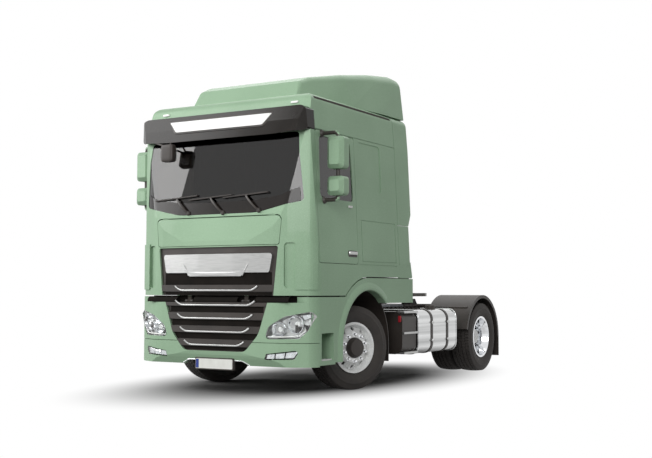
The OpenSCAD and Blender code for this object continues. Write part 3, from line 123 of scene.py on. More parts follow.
maskPlan = planLine(["lower_grille", "lamp_panels"], *shell["planBand"])


def maskSkin(x, z):  # bumper, lamp panels and lower grille: plan line or chin line, whichever lies further back
    chin = shell["maskFront"] + np.interp(z, shell["chinZ"], shell["chinY"])
    return np.stack([x, np.maximum(maskPlan(x), chin), z], axis=-1)


def cabSkin(x, z):  # cab front: plan line or leaning side view, whichever lies further back
    lean = shell["cabFront"] + np.interp(z, shell["leanZ"], shell["leanY"])
    return np.stack([x, np.maximum(maskPlan(x) + shell["cabFront"] - shell["maskFront"], lean), z], axis=-1)


def visorSkin(x, z):  # cab front, moved out by the visor's depth
    return cabSkin(x, z) - np.array([0, shell["visorOut"], 0])


def halfWidth(z):  # half of the cab's width at a height: straight lines between the known ones
    return np.interp(z, shell["sideZ"], shell["sideX"])


def sideSkin(side):  # cab side, leaning in towards the roof
    return lambda y, z: np.stack([side * halfWidth(z), y, z], axis=-1)


def flatSkin(y):  # plane across the truck
    return lambda x, z: np.stack([x, np.full_like(x, y), z], axis=-1)


# A piece is a list of grids; each grid is an array of rows by columns of points, closed round its columns
def addPiece(name, grids, material, body, sharp=38):
    corners, faces, count = [], [], 0
    for grid in grids:
        rows, cols = grid.shape[:2]
        index = count + np.arange(rows * cols).reshape(rows, cols)
        after = np.roll(index, -1, axis=1)
        faces.append(np.stack([index[:-1], after[:-1], after[1:], index[1:]], axis=-1).reshape(-1, 4))
        corners.append(grid.reshape(-1, 3))
        count += rows * cols
    mesh = bpy.data.meshes.new(name)
    mesh.from_pydata(np.vstack(corners), [], np.vstack(faces).tolist())
    shape = bmesh.new()
    shape.from_mesh(mesh)
    bmesh.ops.remove_doubles(shape, verts=shape.verts, dist=2e-5)
    bmesh.ops.recalc_face_normals(shape, faces=shape.faces)
    shape.to_mesh(mesh)
    shape.free()
    mesh.polygons.foreach_set("use_smooth", np.ones(len(mesh.polygons), bool))
    mesh.set_sharp_from_angle(angle=math.radians(sharp))
    piece = bpy.data.objects.new(name, mesh)
    bpy.context.scene.collection.objects.link(piece)
    mesh.materials.append(material)
    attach(piece, body)
    return piece


def capped(grid):  # closes a tube's two ends at their middles
    first = np.broadcast_to(grid[0].mean(axis=0), grid[0].shape)[None]
    last = np.broadcast_to(grid[-1].mean(axis=0), grid[-1].shape)[None]
    return np.concatenate([first, grid, last])


def softWave(wave, soft):  # a cosine or sine raised to a power with its sign kept: 1 is round, 0.25 nearly square
    return np.sign(wave) * np.abs(wave) ** soft


# Ball whose cosines and sines are softened, so that it grows towards a block with round edges
def softBlock(centre, half, soft, rows, cols):
    rise = np.linspace(-math.pi / 2, math.pi / 2, rows)[:, None]
    turn = np.linspace(0, fullTurn, cols, endpoint=False)[None]
    local = np.stack([half[0] * softWave(np.cos(rise), soft) * softWave(np.cos(turn), soft),
                      half[1] * softWave(np.cos(rise), soft) * softWave(np.sin(turn), soft),
                      half[2] * softWave(np.sin(rise), soft) * np.ones_like(turn)], axis=-1)
    return np.asarray(centre) + local


# Profile of (radius, place along the axis) turned round an axis through centre
def turned(profile, centre, axis, cols, start=0.0):
    axis = unit(axis)
    side = unit(np.cross(axis, upward if abs(axis[2]) < 0.9 else leftward))
    other = np.cross(axis, side)
    angle = start + np.linspace(0, fullTurn, cols, endpoint=False)[None, :, None]
    profile = np.asarray(profile, float)
    radius, along = profile[:, 0][:, None, None], profile[:, 1][:, None, None]
    return np.asarray(centre) + radius * (np.cos(angle) * side + np.sin(angle) * other) + along * axis


# Section of (across, upward) offsets carried along a path; across is square to the path and to up
def swept(path, section, up=upward):
    path, section = np.asarray(path, float), np.asarray(section, float)
    along = np.gradient(path, axis=0)
    along /= np.linalg.norm(along, axis=1, keepdims=True)
    across = np.cross(along, up)
    across /= np.linalg.norm(across, axis=1, keepdims=True)
    rise = np.cross(across, along)
    return capped(path[:, None] + section[None, :, :1] * across[:, None] + section[None, :, 1:] * rise[:, None])


def ring(radius, count=12):  # round section for swept: cosine and sine of even steps
    angle = np.linspace(0, fullTurn, count, endpoint=False)
    return np.stack([np.cos(angle), np.sin(angle)], axis=-1) * radius


def softBox(width, height, soft=0.35, count=16):  # section with round corners: softened cosine and sine
    angle = np.linspace(0, fullTurn, count, endpoint=False)
    return np.stack([softWave(np.cos(angle), soft) * width / 2, softWave(np.sin(angle), soft) * height / 2], axis=-1)


# Outline laid on a skin: each row is the outline drawn in to a share of its size, lifted off the skin along out
def drape(outline, skin, out, profile):
    outline = np.asarray(outline, float)
    middle = outline.mean(axis=0)
    loops = [middle + (outline - middle) * share for share, lift in profile]
    return np.stack([skin(loop[:, 0], loop[:, 1]) + lift * np.asarray(out, float)
                     for loop, (share, lift) in zip(loops, profile)])


def slab(lift, sunk=0.004, edge=0.96, drop=0):  # profile of a plate with a soft edge, set back by drop, for drape
    shares = (0, 0.3, 0.6, 0.85)
    rows = ([(share, -sunk) for share in shares] + [(1, -sunk), (1, 0.6 * lift - 0.4 * sunk), (edge, lift)]
            + [(share, lift) for share in shares[::-1]])
    return [(share, height - drop) for share, height in rows]


def smoothLoop(corners, radius, steps=6):  # polygon with each corner rounded by a quadratic curve that long
    corners = np.asarray(corners, float)
    radius = np.broadcast_to(np.asarray(radius, float), len(corners))[:, None]
    before, after = np.roll(corners, 1, axis=0), np.roll(corners, -1, axis=0)
    t = np.linspace(0, 1, steps)[None, :, None]
    start = corners + radius * (before - corners) / np.linalg.norm(before - corners, axis=1, keepdims=True)
    end = corners + radius * (after - corners) / np.linalg.norm(after - corners, axis=1, keepdims=True)
    curve = (1 - t) ** 2 * start[:, None] + 2 * t * (1 - t) * corners[:, None] + t ** 2 * end[:, None]
    return curve.reshape(-1, 2)


def oblong(middle, width, height, radius):  # rounded rectangle as an outline
    return np.asarray(middle) + smoothLoop(boxCorners * (width / 2, height / 2), radius)


def grown(outline, share):  # outline made larger from its middle by a share
    return outline.mean(axis=0) + (outline - outline.mean(axis=0)) * share


def spots(centre, axis, radius, count, start=0.0):  # places spaced evenly on a circle round an axis
    return turned([(radius, 0)], centre, axis, count, start)[0]


def sheet(face, thick):  # closes a grid of points to a thin plate: its rows, then the same rows further back
    return capped(np.concatenate([face, face[:, ::-1] + (0, thick, 0)], axis=1))


# Cushion: an outline with soft corners, whose top swells by crown, whose sides draw in between the corners
# by a parabola, and whose sewn lines sink along a bell curve
def cushion(centre, half, look, axes=np.eye(3)):
    loop = softBox(2 * half[0], 2 * half[1], look["soft"], 112)
    profile = np.array([(0, -1), (0.5, -1), (0.9, -1), (0.97, -0.9), (1, -0.7), (1.01, 0), (1, 0.6), (0.985, 0.82)]
                       + [(share, 1 - 0.1 * (share > 0.94)) for share in np.linspace(0.96, 0, 30)])
    x, y = loop[None, :, 0] * profile[:, :1], loop[None, :, 1] * profile[:, :1]
    u, v, top = x / half[0], y / half[1], (profile[:, 1:] > 0.85)
    seams = sum(np.exp(-((x - line) / look["seam"]) ** 2) for line in look["along"])
    seams = seams + sum(np.exp(-((y - line) / look["seam"]) ** 2) for line in look["across"])
    swell = look["crown"] * np.clip(1 - u ** 2, 0, 1) * np.clip(1 - v ** 2, 0, 1) - look["sunk"] * np.minimum(seams, 1)
    local = np.stack([x * (1 - look["draw"] * (1 - v ** 2)), y * (1 - look["draw"] * (1 - u ** 2)),
                      half[2] * profile[:, 1:] + top * swell], axis=-1)
    return np.asarray(centre) + local @ np.asarray(axes)


# Finishes

# 1 within the cab's walls, 0 outside: six limits on the place, multiplied; 1 on the tilt eyes under the floor too,
# where the dark colour is painted shade in the gap
def feltAndShadeMask(tree, coords, room):
    place = addNode(tree, "ShaderNodeSeparateXYZ", links={"Vector": coords})
    y, z = place.outputs["Y"], place.outputs["Z"]
    wide = addNode(tree, "ShaderNodeMath", links={0: place.outputs["X"]}, operation="ABSOLUTE").outputs[0]
    bent = {key: addNode(tree, "ShaderNodeMapRange", room[key], {"Value": socket}).outputs["Result"]
            for key, socket in (("lean", z), ("slope", z), ("brow", z), ("plan", wide))}
    wider = addNode(tree, "ShaderNodeMath", links={0: wide, 1: bent["lean"]}, operation="ADD").outputs[0]
    leaning = addNode(tree, "ShaderNodeMath", links={0: bent["slope"], 1: bent["brow"]}, operation="ADD").outputs[0]
    deep = addNode(tree, "ShaderNodeMath", links={0: y, 1: leaning}, operation="SUBTRACT").outputs[0]
    curved = addNode(tree, "ShaderNodeMath", links={0: y, 1: bent["plan"]}, operation="SUBTRACT").outputs[0]
    limits = [(wider, "half", "LESS_THAN"), (deep, "front", "GREATER_THAN"), (curved, "front", "GREATER_THAN"),
              (y, "back", "LESS_THAN"), (z, "roof", "LESS_THAN"), (z, "floor", "GREATER_THAN")]
    tests = [addNode(tree, "ShaderNodeMath", {1: room[limit]}, {0: socket}, operation=way).outputs[0]
             for socket, limit, way in limits]
    inside = tests[0]
    for test in tests[1:]:
        inside = addNode(tree, "ShaderNodeMath", links={0: inside, 1: test}, operation="MULTIPLY").outputs[0]
    # below the cab floor the tilt eyes take the same dark colour: painted shade in the gap under the cab
    under = addNode(tree, "ShaderNodeMath", {1: room["under"]}, {0: z}, operation="LESS_THAN")
    return addNode(tree, "ShaderNodeMath", links={0: inside, 1: under.outputs[0]}, operation="MAXIMUM").outputs[0]


def sprayedLacquer(name, look):  # basecoat with metal flakes under clear coat: soft flake glitter, sharp gloss
    material, tree, shader, coords = startMaterial(name, {
        "Metallic": look["metallic"], "Roughness": look["roughness"], "Coat Weight": look["coat"],
        "Coat Roughness": look["coatRoughness"], "Specular IOR Level": look["specular"]})
    flakes = addNode(tree, "ShaderNodeTexVoronoi", {"Scale": perMetre(look["flakeMm"])}, {"Vector": coords})
    drift = addNode(tree, "ShaderNodeTexNoise", {"Scale": perMetre(look["driftMm"]), "Detail": 2.0}, {"Vector": coords})
    mixed = addNode(tree, "ShaderNodeMath", {1: look["flakeShare"]},
                    {0: flakes.outputs["Distance"], 2: drift.outputs["Fac"]}, operation="MULTIPLY_ADD")
    ramp = addNode(tree, "ShaderNodeValToRGB", links={"Fac": mixed.outputs[0]},
                   stops=((0.25, look["deep"]), (1.0, look["light"])))
    colour = ramp.outputs["Color"]
    if "room" in look:  # the inner side of the cab's panels is trimmed in grey felt, and the tilt eyes under the floor take that dark colour as painted shade
        inside = feltAndShadeMask(tree, coords, look["room"])
        feltAndShade = addNode(tree, "ShaderNodeMix", {"B": linear(look["feltAndShadeColour"])}, {"Factor": inside, "A": colour},
                       data_type="RGBA")
        colour = feltAndShade.outputs["Result"]
        for key, value in (("Metallic", 0.0), ("Roughness", 0.9), ("Coat Weight", 0.0)):
            blend = addNode(tree, "ShaderNodeMapRange", {"To Min": shader.inputs[key].default_value, "To Max": value},
                            {"Value": inside})
            joinShader(tree, shader, {key: blend.outputs["Result"]})
    peel = addNode(tree, "ShaderNodeTexNoise", {"Scale": perMetre(look["peelMm"])}, {"Vector": coords})
    bump = addNode(tree, "ShaderNodeBump", {"Strength": 0.02, "Distance": 0.001}, {"Height": peel.outputs["Fac"]})
    joinShader(tree, shader, {"Base Color": colour, "Coat Normal": bump.outputs["Normal"]})
    return material


def mouldedPlastic(name, **look):  # moulded grain breaks up the gloss, and colour drifts a little from flow
    material, tree, shader, coords = startMaterial(name, {"IOR": 1.49, "Specular IOR Level": look.get("specular", 0.4)})
    drift = addNode(tree, "ShaderNodeTexNoise", {"Scale": perMetre(look["driftMm"]), "Detail": 4.0}, {"Vector": coords})
    ramp = addNode(tree, "ShaderNodeValToRGB", links={"Fac": drift.outputs["Fac"]},
                   stops=((0.3, look["deep"]), (0.75, look["light"])))
    gloss = addNode(tree, "ShaderNodeMapRange", {"To Min": look["rough"][0], "To Max": look["rough"][1]},
                    {"Value": drift.outputs["Fac"]})
    grain = addNode(tree, "ShaderNodeTexVoronoi", {"Scale": perMetre(look["grainMm"])}, {"Vector": coords})
    bump = addNode(tree, "ShaderNodeBump", {"Strength": look["grain"], "Distance": look["grainMm"] / 4000},
                   {"Height": grain.outputs["Distance"]})
    joinShader(tree, shader, {"Base Color": ramp.outputs["Color"], "Roughness": gloss.outputs["Result"],
                              "Normal": bump.outputs["Normal"]})
    return material


def workedMetal(name, **look):  # streaks drawn out along one axis in colour, gloss and relief: tool marks that stretch the highlights, and on the polished tank painted reflection bands
    material, tree, shader, coords = startMaterial(name, {"Metallic": look["metallic"]})
    stretched = addNode(tree, "ShaderNodeMapping", {"Scale": look.get("stretch", (1, 1, 1))}, {"Vector": coords})
    streaks = addNode(tree, "ShaderNodeTexNoise", {"Scale": perMetre(look["markMm"]), "Detail": 3.0},
                    {"Vector": stretched.outputs["Vector"]})
    ramp = addNode(tree, "ShaderNodeValToRGB", links={"Fac": streaks.outputs["Fac"]},
                   stops=((0.3, look["deep"]), (0.7, look["light"])))
    gloss = addNode(tree, "ShaderNodeMapRange", {"To Min": look["rough"][0], "To Max": look["rough"][1]},
                    {"Value": streaks.outputs["Fac"]})
    bump = addNode(tree, "ShaderNodeBump", {"Strength": look["bump"], "Distance": 0.001},
                   {"Height": streaks.outputs["Fac"]})
    joinShader(tree, shader, {"Base Color": ramp.outputs["Color"], "Roughness": gloss.outputs["Result"],
                              "Normal": bump.outputs["Normal"]})
    return material


def clearSheet(name, **look):  # see-through sheet: a faint ripple from rolling or moulding moves its reflections
    material, tree, shader, coords = startMaterial(name, {
        "Base Color": linear(look["tint"]), "Transmission Weight": look["clear"], "IOR": look["ior"],
        "Roughness": look["rough"]})
    ripple = addNode(tree, "ShaderNodeTexNoise", {"Scale": perMetre(look["rippleMm"])}, {"Vector": coords})
    bump = addNode(tree, "ShaderNodeBump", {"Strength": look["ripple"], "Distance": 0.001},
                   {"Height": ripple.outputs["Fac"]})
    joinShader(tree, shader, {"Normal": bump.outputs["Normal"]})
    return material


def wovenCloth(name, **look):  # threads over and under each other: two crossed waves give colour and relief
    material, tree, shader, coords = startMaterial(name, {"Roughness": 0.9, "Sheen Weight": 0.25})
    warp, weft = (addNode(tree, "ShaderNodeTexWave", {"Scale": perMetre(look["threadMm"]) / 6.28, "Distortion": 0.6},
                          {"Vector": coords}, bands_direction=way) for way in "XZ")
    weave = addNode(tree, "ShaderNodeMath", links={0: warp.outputs["Fac"], 1: weft.outputs["Fac"]},
                    operation="MULTIPLY")
    ramp = addNode(tree, "ShaderNodeValToRGB", links={"Fac": weave.outputs[0]},
                   stops=((0.0, look["deep"]), (1.0, look["light"])))
    bump = addNode(tree, "ShaderNodeBump", {"Strength": 0.4, "Distance": 0.001}, {"Height": weave.outputs[0]})
    joinShader(tree, shader, {"Base Color": ramp.outputs["Color"], "Normal": bump.outputs["Normal"]})
    return material


# flakes of 0.05 mm are far too fine to show, so they are drawn at 8 mm
sageLook = {"deep": "#7d987d", "light": "#92ae92", "metallic": 0.2, "roughness": 0.55, "specular": 0.2, "coat": 0.15,
            "coatRoughness": 0.04, "flakeMm": 8, "flakeShare": 0.6, "driftMm": 900, "peelMm": 25}
# under: below this height the tilt eyes are coloured dark, a painted shade in the gap
cabRoom = {"half": 1.21, "front": -2.9, "back": -0.775, "roof": 3.385, "floor": 1.36, "under": 1.12,
           "lean": {"From Min": 1.54, "From Max": 3.0, "To Max": 0.07},
           "slope": {"From Min": 1.686, "From Max": 3.0, "To Max": 0.15},
           "brow": {"From Min": 3.0, "From Max": 3.42, "To Max": 0.125},
           "plan": {"From Min": 0.915, "From Max": 1.245, "To Min": 0.032, "To Max": 0.215}}
sagePaint = sprayedLacquer("sageMetallicLacquerSprayed", sageLook)
cabPaint = sprayedLacquer("sageLacquerOverFeltAndPaintedShade", {**sageLook, "feltAndShadeColour": "#3b3733", "room": cabRoom})
# moulded grain is about 1 mm, drawn at 5 mm or more so that it shows
blackPlastic = mouldedPlastic("blackPolypropyleneMoulded", deep="#292522", light="#3a3430", rough=(0.38, 0.55),
                              grainMm=6, grain=0.15, driftMm=300)  # warm black with a soft sheen
chassisPaint = mouldedPlastic("chassisEnamelSprayed", deep="#262321", light="#3d3835", rough=(0.4, 0.65),
                              grainMm=12, grain=0.08, driftMm=220)  # dull enamel, patchy from road dust
cabinPlastic = mouldedPlastic("cabinPolypropyleneMoulded", deep="#37322f", light="#453f3b", rough=(0.5, 0.7),
                              grainMm=5, grain=0.2, driftMm=150)  # soft grain without glare
floorRubber = mouldedPlastic("floorMatRubberRolled", deep="#1f1d1c", light="#2c2927", rough=(0.6, 0.8),
                             grainMm=14, grain=0.5, driftMm=200)  # deep studs that catch a little light
tyreRubber = mouldedPlastic("tyreRubberVulcanised", deep="#24211f", light="#3a3633", rough=(0.6, 0.85),
                            grainMm=9, grain=0.12, driftMm=120)  # matt grey-black
bellowsRubber = mouldedPlastic("bellowsRubberMoulded", deep="#1e1c1b", light="#2a2725", rough=(0.5, 0.7),
                               grainMm=10, grain=0.2, driftMm=80)  # matt black, smoother than a tyre
smokedAcrylic = mouldedPlastic("smokedAcrylicFormed", deep="#17130f", light="#1f1a16", rough=(0.12, 0.2), specular=0.2,
                               grainMm=40, grain=0.01, driftMm=500)  # even black gloss
paintedShadeBlack = mouldedPlastic("blackPolyamideGauze", deep="#13110f", light="#211d1a", rough=(0.75, 0.9), specular=0.08,
                             grainMm=5, grain=0.4, driftMm=200)  # near-black matt sheets that stand for the shade in grooves and gaps: painted shade
screenEnamel = mouldedPlastic("blackEnamelFiredOnGlass", deep="#1c1816", light="#26211e", rough=(0.1, 0.18),
                              specular=0.3, grainMm=40, grain=0.01, driftMm=400)  # dense black, gloss of glass over it
opalAcrylic = mouldedPlastic("opalAcrylicCast", deep="#f1f1ef", light="#fafaf8", rough=(0.2, 0.3),
                             grainMm=30, grain=0.01, driftMm=400)  # milky white, smooth
whiteSheeting = mouldedPlastic("whiteReflectiveSheeting", deep="#d9dad4", light="#e6e7e2", rough=(0.3, 0.4),
                               grainMm=6, grain=0.1, driftMm=90)  # pale beads under film
blueSheeting = mouldedPlastic("blueReflectiveSheeting", deep="#23357e", light="#2b3f8f", rough=(0.3, 0.4),
                              grainMm=6, grain=0.1, driftMm=90)  # the same beads under blue film
redPlastic = mouldedPlastic("redPolyamideMoulded", deep="#a01c28", light="#b52631", rough=(0.35, 0.45),
                            grainMm=5, grain=0.1, driftMm=60)  # plain red with a slight shine
# tool marks finer than about 5 mm would not show, so they are drawn coarser
aluminiumPaintedReflections = workedMetal("aluminiumSheetPolishedPaintedReflections", deep="#a6a7a7", light="#eff0f0", metallic=1.0,
                                rough=(0.1, 0.17), markMm=110, stretch=(0.3, 0.02, 1), bump=0.004)  # mirror; its long light and dark bands of colour are painted reflections
brushedAluminium = workedMetal("aluminiumBarBrushed", deep="#a2a3a2", light="#b4b4b3", metallic=0.85,
                               rough=(0.24, 0.4), markMm=7, stretch=(0.04, 1, 1), bump=0.02)  # silky lines crosswise
chromePlate = workedMetal("chromePlatedSteel", deep="#d5d6d8", light="#eef0f2", metallic=1.0,
                          rough=(0.05, 0.1), markMm=60, bump=0.01)  # hard mirror
silverSteel = workedMetal("wheelSteelSilverLacquered", deep="#dcdddc", light="#eeefee", metallic=0.15,
                          rough=(0.28, 0.42), markMm=14, bump=0.04)  # pale silver paint
greasedSteel = workedMetal("couplingSteelGreased", deep="#2b2926", light="#57534d", metallic=0.75,
                           rough=(0.22, 0.6), markMm=90, bump=0.08)  # dark smears, wet in places
deckSteel = workedMetal("deckSteelGalvanised", deep="#4b4d50", light="#6d7074", metallic=0.8,
                        rough=(0.35, 0.6), markMm=35, bump=0.06)  # grey spangles
mirrorSilver = workedMetal("mirrorGlassSilvered", deep="#dfe3e4", light="#eef1f2", metallic=1.0,
                           rough=(0.01, 0.03), markMm=200, bump=0.0)  # perfect mirror
tintedGlass = clearSheet("laminatedGlassTinted", tint="#4c4844", clear=1.0, ior=1.5, rough=0.0, rippleMm=400,
                         ripple=0.02)  # dark room behind clear reflections
lampLens = clearSheet("polycarbonateLensMoulded", tint="#f4f6f6", clear=1.0, ior=1.4, rough=0.02, rippleMm=60,
                      ripple=0.03)  # nearly unseen cover
redLens = clearSheet("redLensMoulded", tint="#b3121a", clear=0.35, ior=1.49, rough=0.12, rippleMm=12,
                     ripple=0.3)  # deep red with a ribbed glint
amberLens = clearSheet("amberLensMoulded", tint="#e08a1c", clear=0.35, ior=1.49, rough=0.12, rippleMm=12,
                       ripple=0.3)  # the same in amber
# threads of about 1 mm are drawn at 9 mm
seatCloth = wovenCloth("seatPolyesterWoven", deep="#2d2a29", light="#57514d", threadMm=9)
bunkCloth = wovenCloth("mattressCottonWoven", deep="#6a655f", light="#8c867f", threadMm=9)
print("finishes made:", len(bpy.data.materials))

# Which finish each solid has
dressing = {
    sagePaint: ["bumper", "lamp_panels", "entry_steps", "wheel_arches", "roof_fairing", "side_deflectors",
                "front_lid", "mirror_left", "mirror_right"],
    cabPaint: ["cab_front", "cab_sides", "cab_roof", "cab_back", "door_left", "door_right"],
    blackPlastic: ["lower_grille", "upper_grille", "arch_liners", "rear_mudguards", "urea_tank", "tank_straps",
                   "tail_lamps"],
    chassisPaint: ["side_rails", "cross_members", "front_beam", "engine", "prop_shaft", "axle_beams", "springs",
                   "exhaust_box", "fifth_wheel_base", "rear_beam", "knuckle_left", "knuckle_right", "track_rod"],
    smokedAcrylic: ["sun_visor"], tintedGlass: ["windscreen", "door_glass_left", "door_glass_right"],
    aluminiumPaintedReflections: ["fuel_tank"], brushedAluminium: ["badge_bar", "tank_steps"],
    silverSteel: ["rim_front_left", "rim_front_right"], chromePlate: ["rims_rear_left", "rims_rear_right"],
    tyreRubber: ["tyre_front_left", "tyre_front_right", "tyres_rear_left", "tyres_rear_right"],
    bellowsRubber: ["air_springs"], deckSteel: ["catwalk"], greasedSteel: ["fifth_wheel_plate"],
    lampLens: ["front_lamps"], cabinPlastic: ["dashboard", "steering_wheel"],
    floorRubber: ["cab_floor"], seatCloth: ["seats"], bunkCloth: ["bunk"]}
for finish, names in dressing.items():
    for name in names:
        nodes[name].data.materials.clear()
        nodes[name].data.materials.append(finish)
print("solids dressed:", sum(len(names) for names in dressing.values()))


# Pieces on the front

# bright strip along each blade, as half length and height: a level line whose ends curl up by the square of the run
stripLook = {"lower": [(0.563, 1.014), (0.534, 0.862), (0.49, 0.709), (0.424, 0.557)], "upper": [(0.586, 1.182)],
             "endLift": 0.05, "endRun": 0.12, "section": (0.016, 0.019, 0.5)}
# painted shade in the grooves between the blades: near-black sheets, as low edge, high edge and half length: rows laid
# on a groove's floor
grooveShadeLook = {"lower": [(0.5, 0.541, 0.45), (0.626, 0.694, 0.59), (0.778, 0.846, 0.63), (0.931, 0.999, 0.66)],
             "upper": [(1.126, 1.162, 0.76), (1.244, 1.385, 0.76)], "deep": {"lower": 0.0262, "upper": 0.0222},
             "thick": 0.0014}


def stripGrid(half, z, skin, look):  # a section carried along that line
    x = np.linspace(-half, half, 121)
    turn = np.clip((np.abs(x) - half + look["endRun"]) / look["endRun"], 0, 1)
    return swept(skin(x, z + look["endLift"] * turn ** 2), softBox(*look["section"]))


def grooveShadeGrid(low, high, half, skin, deep, thick):  # even steps along and across, moved in from the skin
    x, z = np.meshgrid(np.linspace(-half, half, 61), np.linspace(low, high, 5), indexing="ij")
    return sheet(skin(x, z) + (0, deep, 0), thick)


grilles = {"lower": ("lowerGrilleStrips", maskSkin, "chassis"), "upper": ("upperGrilleStrip", cabSkin, "cab")}
for key, (name, skin, body) in grilles.items():
    addPiece(name, [stripGrid(half, z, skin, stripLook) for half, z in stripLook[key]], brushedAluminium, body)
for key, (name, skin, body) in grilles.items():
    addPiece(key + "Gauze", [grooveShadeGrid(*groove, skin, grooveShadeLook["deep"][key], grooveShadeLook["thick"])
                             for groove in grooveShadeLook[key]], paintedShadeBlack, body)

# lower tab of the bare bar, and the two creases that run down to it
tabLook = {"corners": [(-0.415, 1.395), (-0.375, 1.343), (0.375, 1.343), (0.415, 1.395)], "round": 0.014,
           "plate": (0.004, 0.03, 0.985), "creases": [(0.455, 1.475), (0.425, 1.43), (0.385, 1.352)],
           "creaseSunk": 0.001, "creaseSection": (0.01, 0.008, 0.8)}
tab = drape(smoothLoop(tabLook["corners"], tabLook["round"]), cabSkin, front, slab(*tabLook["plate"]))
creases = [swept(cabSkin(*(np.array(tabLook["creases"]) * (side, 1)).T) + (0, tabLook["creaseSunk"], 0),
                 softBox(*tabLook["creaseSection"]), front) for side, word in sides]
addPiece("barTab", [tab] + creases, brushedAluminium, "cab")

# white light panel on the visor, with a black frame behind it
panelLook = {"corners": [(-0.62, 3.055), (0.62, 3.055), (0.735, 3.185), (-0.735, 3.185)], "round": 0.02,
             "plate": (0.01, 0.006, 0.985), "frame": 0.02, "frameRound": 0.03, "framePlate": (0.004, 0.006, 0.99)}
panelLoop = smoothLoop(panelLook["corners"], panelLook["round"])
panelEdge = smoothLoop(panelLook["corners"] + panelLook["frame"] * boxCorners, panelLook["frameRound"])
addPiece("visorPanel", [drape(panelLoop, visorSkin, front, slab(*panelLook["plate"]))], opalAcrylic, "cab")
addPiece("visorPanelFrame", [drape(panelEdge, visorSkin, front, slab(*panelLook["framePlate"]))], blackPlastic, "cab")

# small marker lamps over the visor
markerLook = {"places": [(-0.93, 3.315), (0.93, 3.315)], "size": (0.1, 0.028, 0.012), "plate": (0.014, 0.01, 0.85)}
addPiece("roofMarkerLamps", [drape(oblong(place, *markerLook["size"]), cabSkin, front, slab(*markerLook["plate"]))
                             for place in markerLook["places"]], opalAcrylic, "cab")

# black print along the glass's lower edge: rows between two lines of heights, carried over the cab's skin
fritLook = {"half": 1.085, "low": [(0, 2.064), (0.486, 2.064), (0.633, 2.081), (0.923, 2.143), (1.085, 2.18)],
            "high": [(0, 2.2), (0.5, 2.206), (0.85, 2.245), (1.085, 2.335)], "lift": 0.003, "sunk": 0.002, "rows": 9}
fritX = np.linspace(-fritLook["half"], fritLook["half"], 81)
fritLow, fritHigh = (np.interp(np.abs(fritX), *np.transpose(fritLook[edge])) for edge in ("low", "high"))
fritZ = fritLow[:, None] + (fritHigh - fritLow)[:, None] * np.linspace(0, 1, fritLook["rows"])
fritFace = cabSkin(np.repeat(fritX[:, None], fritLook["rows"], axis=1), fritZ) - (0, fritLook["lift"], 0)
addPiece("screenPrint", [sheet(fritFace, fritLook["lift"] + fritLook["sunk"])], screenEnamel, "cab")

# wipers: arm from its pivot to the middle of the blade, arched by a sine, and a blade lying along the glass
wiperLook = {"pivots": [(-0.42, 2.085), (0.08, 2.075), (0.58, 2.085)], "reach": (-0.19, 0.185), "bladeHalf": 0.31,
             "bladeTilt": 0.02, "arm": (0.024, 0.014), "blade": (0.016, 0.03), "lift": 0.012, "arch": 0.03,
             "archSoft": 0.7, "boss": [(0, -0.02), (0.028, -0.02), (0.028, 0.014), (0.02, 0.024), (0, 0.026)]}


def wiperGrids(pivot, look):  # t runs along the arm, s along the blade
    t, s = np.linspace(0, 1, 15), np.linspace(-1, 1, 25)
    (x, z), (reachX, reachZ) = pivot, look["reach"]
    arm = cabSkin(x + reachX * t, z + reachZ * t)
    arm[:, 1] -= look["lift"] + look["arch"] * np.sin(math.pi * t) ** look["archSoft"]
    blade = cabSkin(x + reachX + look["bladeHalf"] * s, z + reachZ + look["bladeTilt"] * s)
    blade[:, 1] -= look["lift"]
    boss = turned(look["boss"], cabSkin(*map(np.array, pivot)), front, 20)
    return [swept(arm, softBox(*look["arm"]), front), swept(blade, softBox(*look["blade"]), front), boss]


addPiece("wipers", [grid for pivot in wiperLook["pivots"] for grid in wiperGrids(pivot, wiperLook)], blackPlastic,
         "cab")

# mirror over the windscreen's right corner, on two thin arms from the visor's edge
lookDown = {"centre": (-0.66, -3.0, 2.8), "half": (0.09, 0.05, 0.105), "soft": 0.35, "armReach": (0, 0.02, 0.07),
            "armFeet": [(-0.98, -2.9, 2.965), (-0.7, -2.905, 2.96)], "armRadius": 0.011, "glass": (0.15, 0.17, 0.03),
            "glassBack": 0.049, "glassLift": 0.004}
x, y, z = lookDown["centre"]
armEnd = np.array(lookDown["centre"]) + lookDown["armReach"]
arms = [swept(np.linspace(foot, armEnd, 9), ring(lookDown["armRadius"])) for foot in lookDown["armFeet"]]
addPiece("lookDownMirror", [softBlock(lookDown["centre"], lookDown["half"], lookDown["soft"], 21, 40)] + arms,
         blackPlastic, "cab")
addPiece("lookDownGlass", [drape(oblong((x, z), *lookDown["glass"]), flatSkin(y + lookDown["glassBack"]), rearward,
                                 slab(lookDown["glassLift"]))], mirrorSilver, "cab")
print("cab front pieces made")

